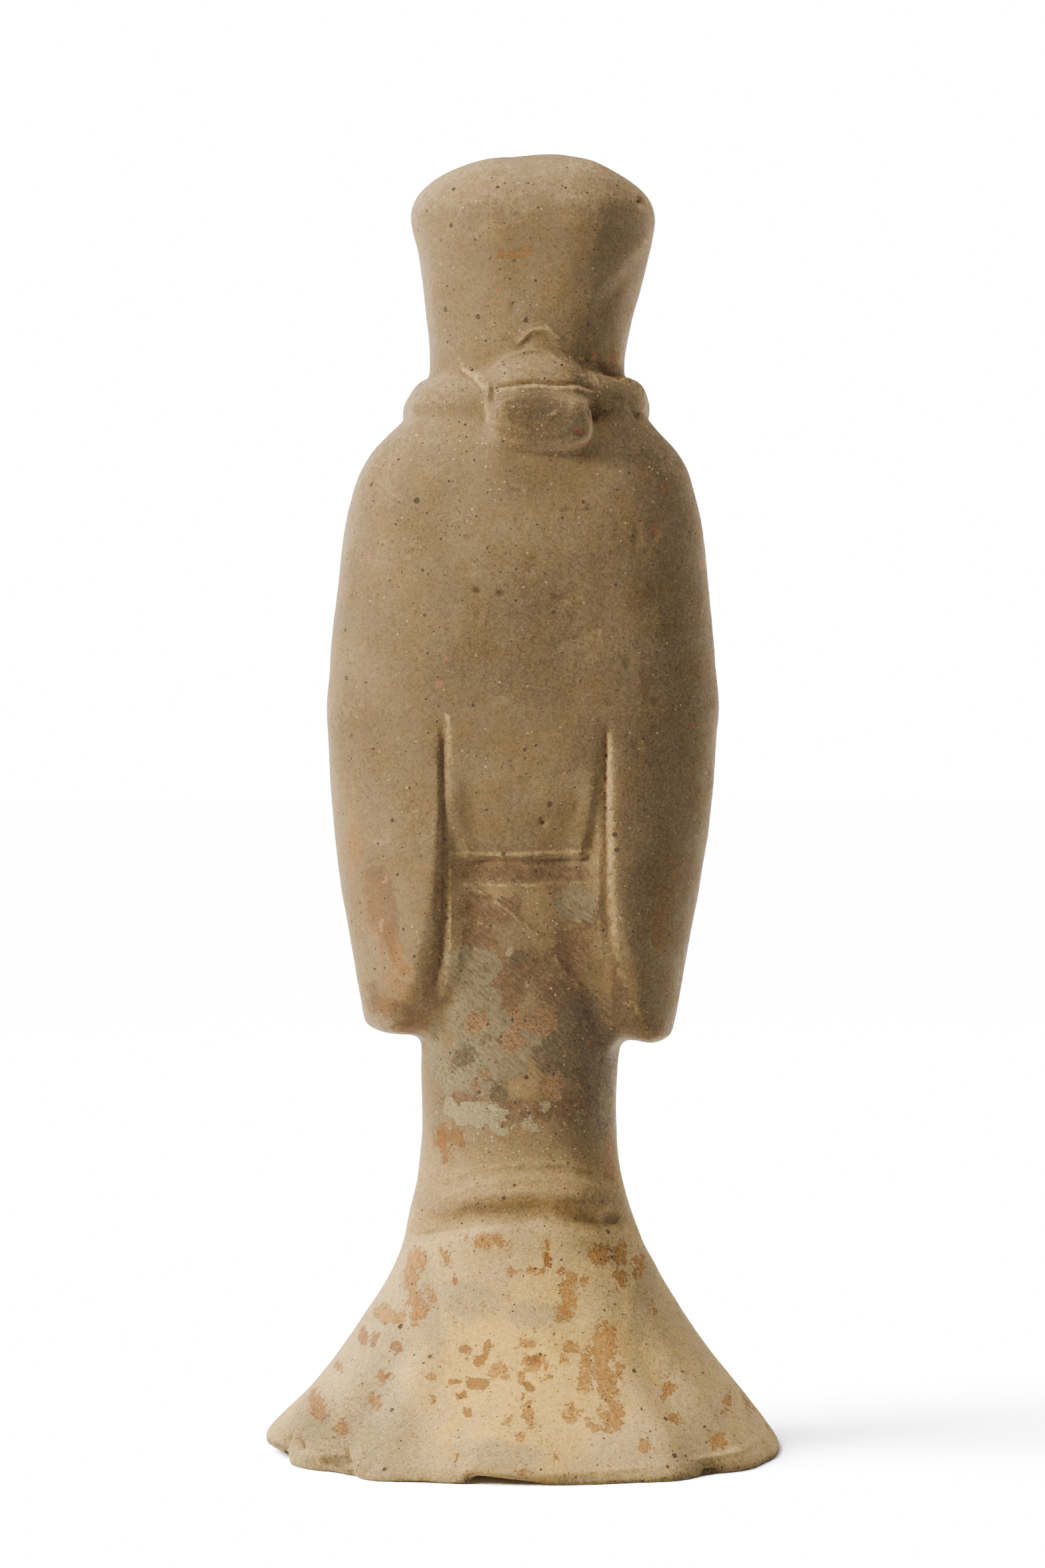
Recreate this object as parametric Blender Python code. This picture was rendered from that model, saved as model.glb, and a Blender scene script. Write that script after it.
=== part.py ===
"""A standing court lady in grey pottery, moulded hollow, with an open base.

The figure is one fired piece of clay. It faces -Y and stands on z = 0, and its left hand is towards +X.
Its body is a stack of outlines round an upright axis: a trumpet-shaped robe, a jacket over it and two long
hanging sleeves, with the joined cuffs in front. The head, the tied hair and the collars are masses of
their own, fused with the body and smoothed as wet clay is. The inside is hollow up to the chest.
"""

import math

import bmesh
import bpy
import numpy as np

# Driving sizes, in metres.
FIGURE_HEIGHT = 0.540
CLAY_WALL = 0.011  # thickness of the robe's wall round the hollow
HEM_ROUNDING = 0.008  # radius of the hem's lower edge
SEAT_DEPTH = 0.003  # how much of the rounded hem is pressed flat where it stands

# The form is proportioned in parts of its own height, 540 of them.
PART = FIGURE_HEIGHT / 540

# Fineness of the working surfaces.
COLUMNS = 288
ROW_STEP = 1.5 * PART
CLAY_GRAIN = 1.6 * PART
SOLID_TRIANGLES = 8900
SMOOTHING = 5
HOLLOW_COLUMNS = 24
HOLLOW_ROWS = 18
HOLLOW_TOP = 392 * PART
HOLLOW_ROUNDING = 30 * PART
HOLLOW_TIP = 0.05  # the hollow's width at its very top, as a share of the width below
WRAP = 2  # how soon a form of the back or of the front is whole, going round from the side

FIGURE_NAME = "court_lady"

CLAY_COLOUR = (0.36, 0.29, 0.19, 1.0)
CLAY_ROUGHNESS = 0.85

# The robe: height, half width, depth to the back, depth to the front.
ROBE = (
    (-14, 119, 110, 97),
    (-3, 109, 100, 88),
    (4, 104.2, 95.5, 84),
    (18, 93.2, 84.5, 76),
    (32, 81.4, 72.5, 66),
    (46, 71.4, 61.5, 58),
    (60, 61.9, 53, 50.5),
    (74, 53.7, 45, 44.5),
    (84, 49.2, 40.5, 41),
    (95, 46, 39.5, 38.5),
    (108, 42.5, 38.5, 36.5),
    (122, 40.3, 36.5, 35),
    (138, 39.6, 34.5, 34),
    (160, 40.4, 33, 33.5),
    (200, 40.5, 32, 33),
    (250, 42, 32.5, 34),
    (300, 44, 34, 35),
    (350, 46, 34, 34),
    (400, 40, 30, 30),
)
ROBE_SQUARENESS = 2.15
HEM_SQUARENESS = 2.38
HEM_SQUARE_BELOW = 60 * PART

# The jacket and upper arms, above its hem.
JACKET = (
    (230, 47, 34.5, 36),
    (245, 48, 35.6, 37),
    (262, 52, 37.4, 39),
    (280, 64, 40.4, 42),
    (297, 79, 41.8, 44),
    (325, 79.8, 42.6, 46),
    (353, 78.2, 42.8, 47),
    (381, 75.2, 42.5, 46),
    (395, 72.4, 41.6, 44),
    (409, 67.5, 40, 40.5),
    (416, 63, 38.6, 37),
    (423, 56, 36.6, 32.5),
    (430, 48, 34, 28),
    (437, 39, 30.5, 25),
    (444, 31.5, 27.5, 23.5),
    (452, 28.5, 26, 23.5),
    (480, 27, 25, 24),
)
JACKET_SQUARENESS = 2.5

# The hanging sleeves: height, outer half width, depth to the back, depth to the front.
SLEEVES = (
    (150, 60.5, 31, 30),
    (172, 64.2, 35, 36),
    (186, 66.9, 37.5, 41),
    (200, 69.1, 39.3, 46),
    (213, 71.4, 40.6, 51),
    (227, 74, 41.4, 56),
    (241, 76.2, 42, 61),
    (255, 78.2, 42.4, 65.5),
    (269, 79.7, 42.7, 69),
    (283, 80.8, 42.7, 71.5),
    (297, 81.2, 41.6, 72.5),
    (311, 80.6, 38.4, 72),
    (325, 79.6, 35.5, 69),
    (338, 78.4, 33.5, 60),
    (352, 76.4, 32, 50),
    (366, 74, 31, 43),
    (400, 66, 29, 36),
    (430, 40, 30, 30),
    (480, 15, 15, 15),
)
SLEEVE_SQUARENESS = 2.3

# Inner edges of the sleeves at the back: height, distance from the middle at which a sleeve's inner side
# leaves the robe, and the same for the ridge where it turns into the sleeve's back.
LEFT_BACK_EDGE = (
    (168, 40, 60), (174, 39.5, 55), (183, 37, 49.7), (191, 34.5, 45.5), (207, 31, 41.5),
    (228, 29.6, 36.5), (250, 30.6, 34.4), (283, 31.2, 33.8), (310, 31.6, 34),
)
RIGHT_BACK_EDGE = (
    (163, 40, 63), (170, 39.5, 57), (183, 38, 51), (194, 36.5, 48.4), (205, 35, 45.8), (222, 33.2, 41.3),
    (233, 32.6, 39.2), (250, 32.8, 37.6), (283, 33.4, 37), (310, 33.8, 37),
)
INNER_SIDE_BULGE = 0.75  # below 1, the inner side of a sleeve is fuller than a plane
GROOVES = ((205, 0), (225, 2), (247, 3.6), (270, 3.4), (290, 1.8), (305, 0))  # depth beside those edges
GROOVE_HALF_WIDTH = 1.9 * PART

# Edges of the sleeves' mouths at the front: height, distance from the middle.
FRONT_EDGE = (
    (165, 53), (180, 49), (200, 42.5), (222, 34), (245, 23.5), (264, 12.5), (280, 3), (292, -8), (330, -40),
)
MOUTH_ROUNDING = 6 * PART
LEFT_TIP = 169.5 * PART
RIGHT_TIP = 164.7 * PART
TIP_ROUNDING = 8 * PART
FOREARM_DROP = 27 * PART  # how far the forearms fall from the joined cuffs to the elbows
JACKET_HEM = 247 * PART
JACKET_HEM_ROUNDING = 2.6 * PART
BODY_BLEND = 3.5 * PART
# The arch of a sleeve's lower edge beside the robe: distances from the middle where it starts, is highest and
# ends, its height, half height and rise; left, right.
SLEEVE_ARCHES = (
    (38, 43, 53, 171, 6, 2.6),
    (36, 41, 55, 167, 8, 6.4),
)
BODY_TOP = 478 * PART

# The calf: the robe bulges over a crease, on the back, from which the trumpet of the hem starts.
CALF_BULGE = (109 * PART, 6.4 * PART, 2.8 * PART)  # height, half height, depth
CALF_CREASE = (100.5 * PART, 4.4 * PART, -3.2 * PART)
CALF_ARCH = 9 * PART  # how far both fall towards the sides
CALF_TILT = 4 * PART  # how much further they fall on the left

# Upright folds of the trumpet: angle from the middle of the back, half width in degrees, depth, top.
FOLDS = (
    (34, 6, 2.4, 92),
    (47, 6.5, -3.8, 70),
    (65, 3.2, -2.6, 40),
    (79, 8, 2.0, 64),
    (22, 9, -1.8, 80),
    (-2, 12, 1.4, 84),
    (-34, 5.5, 2.4, 88),
    (-44, 5, -2.2, 84),
    (-55, 5, 2.2, 78),
    (-68, 6, 0.6, 66),
    (-84, 7, 0.5, 60),
    (105, 9, -1.8, 62),
    (122, 8, 2.4, 76),
    (142, 7, -2.2, 80),
    (160, 9, 2.2, 96),
    (180, 7, -1.8, 90),
    (-108, 9, -1.8, 62),
    (-126, 8, 2.2, 74),
    (-145, 7, -2.2, 80),
    (-163, 9, 2.0, 94),
)

# Where the hem is worn and lifts off the ground: from one angle to another, with its rise at each end.
LIFTS = (
    (13.5, -14, 6.8, 1.0),
    (38.5, 57, 3.4, 1.0),
    (64, 112, 5.6, 3.2),
    (-43, -50, 1.8, 1.0),
    (152, 171, 5.4, 6.6),
    (-128, -150, 3.4, 5.8),
)
LIFT_EDGE = 2.0  # degrees over which a lift starts and ends
LIFT_HEIGHT = 26 * PART  # how far up the robe a lift is felt

# How the upright axis of the figure wanders: height, shift towards the left hand, shift to the back.
SWAY = (
    (-14, 0, 0), (30, -1.4, 0), (60, -1.2, 0), (95, 0.8, 1.2), (130, 1.4, 0.4),
    (165, 1.0, -1.2), (200, 1.2, -1.6), (300, -0.1, 0.4), (370, -0.4, 2.2), (420, -0.8, 1.6),
    (450, -1.8, 0.4), (480, -3.7, -0.4), (510, -5.3, -0.8), (530, -4, -1), (545, -3.6, -1),
)

# The hair as it is drawn back, wide over the temples: height, half width, depth to the back, to the front.
HAIR = (
    (436, 35, 29, 7),
    (444, 38, 32.5, 8),
    (451, 40.2, 35.6, 10),
    (465, 42.4, 38.6, 15),
    (479, 45.1, 41, 21),
    (493, 47.3, 43, 28.5),
    (507, 49.6, 44.5, 38),
    (514, 50.3, 44.4, 43),
    (520.5, 48, 42, 45),
    (527.5, 41, 37.5, 40.5),
    (534, 28, 27.5, 31),
    (538, 16, 17, 21),
    (540, 5, 6, 7),
)
HAIR_SQUARENESS = 2.45
PARTING_DEPTH = 2.2 * PART  # the groove over the forehead where the hair is parted
PARTING_HALF_WIDTH = 2.0 * PART

# The face, round an axis of its own nearer the front.
FACE_AXIS = -12 * PART
FACE = (
    (443.5, 8, 9, 21),
    (446.5, 14.5, 18, 28.5),
    (451, 19.5, 24, 31.6),
    (458, 24.4, 28, 33),
    (468, 28.6, 29, 33.8),
    (480, 31, 29, 34.4),
    (492, 31.6, 29, 34.8),
    (503, 31, 29, 34.6),
    (512, 29, 27, 33.4),
    (520, 26, 25, 30),
    (528, 17, 16, 20),
)
FACE_SQUARENESS = 2.2

# Soft forms of the face, the same on both sides: distance from the middle, height, half width, half height
# and relief.
FACE_FORMS = (
    (12.2, 488.6, 8.6, 4.4, -4.4),
    (12.4, 487.4, 5.8, 3.0, 4.2),
    (12.6, 495.2, 9.5, 2.4, 1.8),
    (17.5, 474, 9, 9, 2.0),
    (5.2, 473.4, 2.6, 2.4, 2.2),
    (0, 464.4, 6.6, 1.6, 3.2),
    (0, 460.0, 5.2, 1.9, 3.4),
    (0, 462.4, 8.0, 0.8, -2.6),
    (0, 455.6, 7, 1.9, -2.0),
    (0, 450.4, 7, 3.8, 2.6),
)
NOSE_ROOT = 494 * PART
NOSE_TIP = 472 * PART
NOSE_UNDERSIDE = 0.16  # height of its underside, as a share of its length
NOSE_RELIEF = (1.8, 9)  # at the root and at the tip
NOSE_HALF_WIDTH = (3.2, 5)

# The tied hair at the nape: middle, half sizes, squareness, lean towards the back in degrees.
KNOT = (
    ((-7.4, 41, 424.3), (21.2, 10.2, 11.4), 3.4, -14),
    ((-5.6, 34.2, 437), (20.6, 9.6, 14.4), 2.6, 7),
)

# The two layers of collar: how far they stand off the jacket, height behind, height where they cross on the
# breast, how far their free end is below that, half thickness and half height behind, the same in front.
COLLARS = (
    (3.4, 435.8, 388, 38, 6.6, 9, 2.8, 7.2),
    (-2.0, 439, 402.5, 34, 5, 7.5, 1.9, 6.2),
)
OVERLAP = 1.0  # how far the left side of a collar lies over its right side
# Turns round the neck, in degrees from the middle of the back.
COLLAR_START = -12
COLLAR_FALLS_FROM = 76
COLLAR_FLATTENS = (72, 135)
COVERED_END = 184  # where the right side ends, under the left
FREE_END = 226  # where the left side ends, tucked into the jacket
COLLAR_SWEEP = 1.25  # above 1, a collar stays high round the neck and then falls faster
TUCK_DEPTH = 1.5  # in thicknesses of the band
TUCK_LENGTH = 0.25  # as a share of the free end
COLLAR_COLUMNS = 24

# Drapes of the sleeves' fronts, which hang from the forearms: height, sag, half width across, relief.
DRAPES = ((316, 6, 5, 0.9), (299, 11, 6, 1.2), (274, 18, 7, 1.1))
DRAPE_MIDDLE = 42 * PART  # distance from the middle at which a drape hangs lowest
DRAPE_SPAN = 34 * PART
DRAPE_FADE = 0.8  # where a drape fades out, as a share of its span
CUFF_BORDER = 9 * PART  # width of the border round a sleeve's mouth
CUFF_RELIEF = 1.2 * PART
CUFF_SEAM = ((275, 0), (285, 3), (310, 3), (345, 1.5), (355, 0))  # depth of the line where the cuffs meet
CUFF_SEAM_HALF_WIDTH = 1.8 * PART


def curve_through(stations, heights):
    """Every column of the stations at these heights, on a smooth curve."""
    table = np.array(stations, float) * PART
    knots, values = table[:, 0], table[:, 1:]
    slopes = np.gradient(values, knots, axis=0)
    lower = np.clip(np.searchsorted(knots, heights) - 1, 0, len(knots) - 2)
    span = (knots[lower + 1] - knots[lower])[..., None]
    t = np.clip((heights - knots[lower])[..., None] / span, 0, 1)
    start = (1 + 2 * t) * (1 - t) ** 2 * values[lower] + t * (1 - t) ** 2 * span * slopes[lower]
    end = t * t * (3 - 2 * t) * values[lower + 1] + t * t * (t - 1) * span * slopes[lower + 1]
    return np.moveaxis(start + end, -1, 0)


def oval(angle, half_width, back, front, squareness=2.3):
    """How far an oval reaches from its middle at this angle from the back."""
    depth = np.where(np.cos(angle) > 0, back, front)
    across = (np.abs(np.sin(angle)) / half_width) ** squareness
    along = (np.abs(np.cos(angle)) / depth) ** squareness
    return (across + along) ** (-1 / squareness)


def fused(a, b, width):
    """The larger of two reaches, with a soft join of this width."""
    near = np.clip(1 - np.abs(a - b) / width, 0, 1)
    return np.maximum(a, b) + near * near * width / 4


def rounded(distance, radius):
    """From 0 at an edge to 1 inside it, along a quarter circle."""
    t = np.clip(distance / radius, 0, 1)
    return np.sqrt(1 - (1 - t) ** 2)


def soft_step(t):
    t = np.clip(t, 0, 1)
    return t * t * (3 - 2 * t)


def bump(distance, half_width):
    return np.exp(-((distance / half_width) ** 2))


def on_back(angle):
    """1 on the back, 0 on the front, and in between towards the sides."""
    return soft_step(WRAP * np.cos(angle))


def on_front(angle):
    return soft_step(-WRAP * np.cos(angle))


def turn_from(angle, degrees):
    """The signed difference between an angle and one in degrees, in degrees."""
    return (np.degrees(angle) - degrees + 180) % 360 - 180


def robe_squareness(height):
    return ROBE_SQUARENESS + (HEM_SQUARENESS - ROBE_SQUARENESS) * soft_step(1 - height / HEM_SQUARE_BELOW)


def robe(angle, height):
    """Reach of the robe, with its folds and the bulge over the calf."""
    reach = oval(angle, *curve_through(ROBE, height), robe_squareness(height))
    for degrees, spread, depth, top in FOLDS:
        fade = soft_step(1 - height / (top * PART))
        reach = reach + depth * PART * fade * bump(turn_from(angle, degrees), spread)
    for level, half_height, depth in (CALF_BULGE, CALF_CREASE):
        arch = level - (CALF_ARCH + CALF_TILT * np.sin(angle)) * np.sin(angle) ** 2
        reach = reach + depth * on_back(angle) * bump(height - arch, half_height)
    return reach


def jacket_outline(angle, height):
    return oval(angle, *curve_through(JACKET, height), JACKET_SQUARENESS)


def jacket(angle, height, under):
    reach = jacket_outline(angle, height)
    return under + (reach - under) * rounded(height - JACKET_HEM, JACKET_HEM_ROUNDING)


def back_edge(on_left, height):
    """Where a sleeve's inner side starts at the back, and where its ridge is."""
    return np.where(on_left, curve_through(LEFT_BACK_EDGE, height), curve_through(RIGHT_BACK_EDGE, height))


def groove(angle, height, reach):
    """Depth of the groove between a sleeve and the back."""
    foot = back_edge(np.sin(angle) > 0, height)[0]
    depth = curve_through(GROOVES, height)[0] * on_back(angle)
    return depth * bump(np.abs(reach * np.sin(angle)) - foot, GROOVE_HALF_WIDTH)


def drapes(from_middle, height):
    """Relief of the folds that hang from the forearms in front, and of the line where the cuffs meet."""
    along = (from_middle - DRAPE_MIDDLE) / DRAPE_SPAN
    relief = -curve_through(CUFF_SEAM, height)[0] * bump(from_middle, CUFF_SEAM_HALF_WIDTH)
    for level, sag, half_width, depth in DRAPES:
        hangs_at = (level - sag * (1 - along**2)) * PART
        relief = relief + depth * PART * bump(along, DRAPE_FADE) * bump(height - hangs_at, half_width * PART)
    return relief


def sleeves(angle, height, under):
    """Reach of the hanging sleeves, which end in an inner edge behind, a mouth in front and a tip below."""
    half_width, back, _ = curve_through(SLEEVES, height)
    front = curve_through(SLEEVES, height + FOREARM_DROP * (1 - soft_step(-np.cos(angle))))[2]
    reach = oval(angle, half_width, back, front, SLEEVE_SQUARENESS)
    from_middle = np.abs(reach * np.sin(angle))
    reach = reach + drapes(from_middle, height) * on_front(angle)
    on_left = np.sin(angle) > 0
    foot, ridge = back_edge(on_left, height)
    behind = np.clip((from_middle - foot) / (ridge - foot), 0, 1) ** INNER_SIDE_BULGE
    inside_mouth = from_middle - curve_through(FRONT_EDGE, height)[0]
    before = rounded(inside_mouth, MOUTH_ROUNDING)
    tip = rounded(height - np.where(on_left, LEFT_TIP, RIGHT_TIP), TIP_ROUNDING)
    share = np.where(np.cos(angle) > 0, behind, before) * tip
    border = CUFF_RELIEF * (np.cos(angle) < 0) * soft_step((CUFF_BORDER - inside_mouth) / PART)
    return under + np.maximum(reach + border - under, 0) * share


def sleeve_arch(x, height):
    """How far the sleeves' lower edges rise towards the robe."""
    start, top, end, level, half_height, rise = np.where(
        x > 0, *(np.reshape(row, (6,) + (1,) * x.ndim) * PART for row in SLEEVE_ARCHES)
    )
    from_middle = np.abs(x)
    share = soft_step((from_middle - start) / (top - start)) * soft_step((end - from_middle) / (end - top))
    return rise * share * bump(height - level, half_height)


def hem_lift(angle):
    rise = 0 * angle
    for start, end, at_start, at_end in LIFTS:
        along = turn_from(angle, start) / (end - start)
        edge = LIFT_EDGE / abs(end - start)
        inside = soft_step(along / edge + 0.5) * soft_step((1 - along) / edge + 0.5)
        rise = np.maximum(rise, inside * (at_start + (at_end - at_start) * along) * PART)
    return rise


def placed(angle, reach, height, axis=0.0):
    """Points of outlines round the figure's axis, or round one further back or front."""
    sideways, backwards = curve_through(SWAY, height)
    x = reach * np.sin(angle) + sideways
    y = reach * np.cos(angle) + backwards + axis
    return np.stack(np.broadcast_arrays(x, y, height), axis=-1)


def around():
    return np.linspace(-math.pi, math.pi, COLUMNS, endpoint=False)[None, :]


def upright(low, high):
    return np.linspace(low, high, math.ceil((high - low) / ROW_STEP))[:, None]


def body():
    angle, height = around(), upright(-SEAT_DEPTH, BODY_TOP)
    under = robe(angle, height)
    reach = fused(under, jacket(angle, height, under), BODY_BLEND)
    reach = fused(reach, sleeves(angle, height, under), BODY_BLEND)
    reach = reach - groove(angle, height, reach)
    reach = reach - HEM_ROUNDING * (1 - rounded(height + SEAT_DEPTH, HEM_ROUNDING))
    points = placed(angle, reach, height)
    points[..., 2] += sleeve_arch(points[..., 0], points[..., 2])
    points[..., 2] += hem_lift(angle) * soft_step(1 - height / LIFT_HEIGHT)
    return points


def nose(across, height):
    """Relief of the nose, which widens and rises from its root to its tip."""
    down = (NOSE_ROOT - height) / (NOSE_ROOT - NOSE_TIP)
    relief, half_width = (
        start + (end - start) * np.clip(down, 0, 1) for start, end in (NOSE_RELIEF, NOSE_HALF_WIDTH)
    )
    present = soft_step(down) * soft_step((1 + NOSE_UNDERSIDE - down) / NOSE_UNDERSIDE)
    return relief * present * bump(across, half_width)


def face():
    angle, height = around(), upright(FACE[0][0] * PART, FACE[-1][0] * PART)
    reach = oval(angle, *curve_through(FACE, height), FACE_SQUARENESS)
    across = reach * np.sin(angle) / PART
    level = height / PART
    relief = nose(across, height)
    for middle, at, half_across, half_up, depth in FACE_FORMS:
        for side in ({-1, 1} if middle else {1}):
            relief = relief + depth * bump(across - side * middle, half_across) * bump(level - at, half_up)
    return placed(angle, reach + relief * PART * on_front(angle), height, FACE_AXIS)


def hair():
    low, high = HAIR[0][0] * PART, HAIR[-1][0] * PART
    rise = np.sin(np.linspace(0, math.pi / 2, math.ceil((high - low) / ROW_STEP)))[:, None]
    angle, height = around(), low + (high - low) * rise
    reach = oval(angle, *curve_through(HAIR, height), HAIR_SQUARENESS)
    parting = bump(reach * np.sin(angle), PARTING_HALF_WIDTH) * on_front(angle)
    return placed(angle, reach - PARTING_DEPTH * parting, height)


def pad(middle, half_sizes, squareness, lean):
    """A rounded block of clay."""
    angle = np.linspace(-math.pi, math.pi, COLUMNS // 4, endpoint=False)[None, :]
    rise = np.linspace(-math.pi / 2, math.pi / 2, COLUMNS // 8 + 1)[1:-1, None]
    ways = np.stack(
        np.broadcast_arrays(np.sin(angle) * np.cos(rise), np.cos(angle) * np.cos(rise), np.sin(rise)), axis=-1
    )
    size = (np.abs(ways) ** squareness).sum(-1, keepdims=True) ** (-1 / squareness)
    points = ways * size * np.array(half_sizes) * PART
    tilt = math.radians(lean)
    y, z = points[..., 1].copy(), points[..., 2].copy()
    points[..., 1] = y * math.cos(tilt) - z * math.sin(tilt)
    points[..., 2] = y * math.sin(tilt) + z * math.cos(tilt)
    return points + np.array(middle) * PART


def collar(side, stands_off, behind, crossing, drop, thick, tall, thick_before, tall_before):
    """Half of a collar: a roll behind the neck that flattens to a band and crosses over on the breast."""
    turn = np.linspace(COLLAR_START, FREE_END if side > 0 else COVERED_END, COLUMNS // 2)[:, None]
    section = np.linspace(-math.pi, math.pi, COLLAR_COLUMNS, endpoint=False)[None, ::-1]
    fall = soft_step((turn - COLLAR_FALLS_FROM) / (180 - COLLAR_FALLS_FROM)) ** COLLAR_SWEEP
    past = np.clip((turn - 180) / (FREE_END - 180), 0, 1)
    level = (behind + (crossing - behind) * fall - drop * past) * PART
    flat = soft_step((turn - COLLAR_FLATTENS[0]) / (COLLAR_FLATTENS[1] - COLLAR_FLATTENS[0]))
    tucked_in = TUCK_DEPTH * thick_before * soft_step((past - 1) / TUCK_LENGTH + 1)
    stand = stands_off * (1 - flat) + OVERLAP * (side > 0) * flat - tucked_in
    angle = np.radians(turn) * side
    out = (thick + (thick_before - thick) * flat) * np.cos(section)
    rise = (tall + (tall_before - tall) * flat) * np.sin(section)
    return placed(angle, jacket_outline(angle, level) + (stand + out) * PART, level + rise * PART)


def hollow():
    """The inside of the figure: the robe's outline drawn in by the clay wall, open at the base."""
    angle = np.linspace(-math.pi, math.pi, HOLLOW_COLUMNS, endpoint=False)[None, :]
    height = np.linspace(ROBE[0][0] * PART, HOLLOW_TOP, HOLLOW_ROWS)[:, None]
    outline = curve_through(ROBE, height)
    slope = np.gradient(outline, height[:, 0], axis=1)
    half_width, back, front = outline - CLAY_WALL * np.sqrt(1 + slope**2)
    reach = oval(angle, half_width, back, front, robe_squareness(height))
    reach = reach * np.maximum(rounded(HOLLOW_TOP - height, HOLLOW_ROUNDING), HOLLOW_TIP)
    return placed(angle, reach, height)


def closed_mesh(name, rings):
    """A closed mesh through rings of points, each end of it closed round a middle point."""
    work = bmesh.new()
    rows = [[work.verts.new(point) for point in ring] for ring in rings]
    for lower, upper in zip(rows, rows[1:]):
        for i in range(len(lower)):
            j = (i + 1) % len(lower)
            work.faces.new((lower[i], lower[j], upper[j], upper[i]))
    for row, ring in ((rows[0], rings[0]), (rows[-1], rings[-1])):
        middle = work.verts.new(np.mean(ring, axis=0))
        for i in range(len(row)):
            work.faces.new((row[i], row[(i + 1) % len(row)], middle))
    bmesh.ops.recalc_face_normals(work, faces=work.faces)
    mesh = bpy.data.meshes.new(name)
    work.to_mesh(mesh)
    work.free()
    return mesh


def clay_masses():
    """Every mass of clay that the figure is pressed from, as closed meshes that run into one another."""
    yield closed_mesh("body", body())
    yield closed_mesh("face", face())
    yield closed_mesh("hair", hair())
    for sizes in KNOT:
        yield closed_mesh("knot", pad(*sizes))
    for sizes in COLLARS:
        yield closed_mesh("right_collar", collar(-1, *sizes))
        yield closed_mesh("left_collar", collar(1, *sizes))


def joined(name, meshes):
    work = bmesh.new()
    for mesh in meshes:
        work.from_mesh(mesh)
        bpy.data.meshes.remove(mesh)
    whole = bpy.data.meshes.new(name)
    work.to_mesh(whole)
    work.free()
    return whole


def new_object(name, mesh):
    obj = bpy.data.objects.new(name, mesh)
    bpy.context.scene.collection.objects.link(obj)
    return obj


def cutter(name, mesh, figure):
    """An object that is taken away from the figure and moves with it."""
    obj = new_object(name, mesh)
    obj.parent = figure
    obj.hide_render = True
    obj.display_type = "WIRE"
    return obj


def block(low, high):
    """A plain box between two corners."""
    work = bmesh.new()
    bmesh.ops.create_cube(work, size=1)
    size = np.subtract(high, low)
    for vert in work.verts:
        vert.co = np.array(vert.co) * size + np.add(low, high) / 2
    mesh = bpy.data.meshes.new("block")
    work.to_mesh(mesh)
    work.free()
    return mesh


def fired_clay():
    material = bpy.data.materials.new("grey_pottery")
    material.use_nodes = True
    shader = material.node_tree.nodes["Principled BSDF"]
    shader.inputs["Base Color"].default_value = CLAY_COLOUR
    shader.inputs["Roughness"].default_value = CLAY_ROUGHNESS
    shader.inputs["Metallic"].default_value = 0
    return material


def evaluated_mesh(obj):
    graph = bpy.context.evaluated_depsgraph_get()
    return bpy.data.meshes.new_from_object(obj.evaluated_get(graph))


def modelled_figure():
    """The masses run together into one skin, worked smooth, and kept to as few facets as hold its form."""
    clay = new_object("clay", joined("clay", clay_masses()))
    skin = clay.modifiers.new("one_skin", "REMESH")
    skin.mode = "VOXEL"
    skin.voxel_size = CLAY_GRAIN
    worked = clay.modifiers.new("worked_smooth", "SMOOTH")
    worked.iterations = SMOOTHING
    fine = evaluated_mesh(clay)
    bpy.data.objects.remove(clay)
    fine.calc_loop_triangles()

    figure = new_object(FIGURE_NAME, fine)
    facets = figure.modifiers.new("facets", "DECIMATE")
    facets.ratio = SOLID_TRIANGLES / len(fine.loop_triangles)
    below = FIGURE_HEIGHT
    for name, mesh in (
        ("hollow_cutter", closed_mesh("hollow_cutter", hollow())),
        ("ground_cutter", block((-below, -below, -below), (below, below, 0))),
    ):
        cut = figure.modifiers.new(name, "BOOLEAN")
        cut.operation = "DIFFERENCE"
        cut.object = cutter(name, mesh, figure)
    return figure


def stand_on_origin(figure):
    """Moves the figure so that the middle of its outline from above is on the origin."""
    mesh = evaluated_mesh(figure)
    points = np.array([vert.co for vert in mesh.vertices])
    bpy.data.meshes.remove(mesh)
    middle = (points.min(axis=0) + points.max(axis=0)) / 2
    figure.location = (-middle[0], -middle[1], 0)


def main():
    for obj in list(bpy.data.objects):
        bpy.data.objects.remove(obj)
    figure = modelled_figure()
    stand_on_origin(figure)
    figure.data.materials.append(fired_clay())
    figure.data.shade_smooth()


main()
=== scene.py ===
"""The court lady in her fired clay, with worn paint and earth, seen from behind in soft studio light."""

import math
from collections import namedtuple

import bmesh
import bpy
import numpy as np
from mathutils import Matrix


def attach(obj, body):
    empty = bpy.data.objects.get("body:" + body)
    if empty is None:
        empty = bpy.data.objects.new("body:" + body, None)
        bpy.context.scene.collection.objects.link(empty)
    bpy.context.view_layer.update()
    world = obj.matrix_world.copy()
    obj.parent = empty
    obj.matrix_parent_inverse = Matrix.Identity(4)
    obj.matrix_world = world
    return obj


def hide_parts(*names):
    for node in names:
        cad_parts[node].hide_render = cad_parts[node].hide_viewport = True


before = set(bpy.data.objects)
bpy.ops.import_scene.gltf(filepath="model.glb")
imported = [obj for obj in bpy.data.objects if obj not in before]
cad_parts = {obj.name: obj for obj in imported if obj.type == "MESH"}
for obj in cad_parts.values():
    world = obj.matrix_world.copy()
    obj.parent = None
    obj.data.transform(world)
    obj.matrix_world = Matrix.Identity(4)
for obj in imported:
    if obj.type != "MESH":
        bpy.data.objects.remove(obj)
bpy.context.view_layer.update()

NODE = "court_lady"
SLOT = "grey_pottery"

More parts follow.
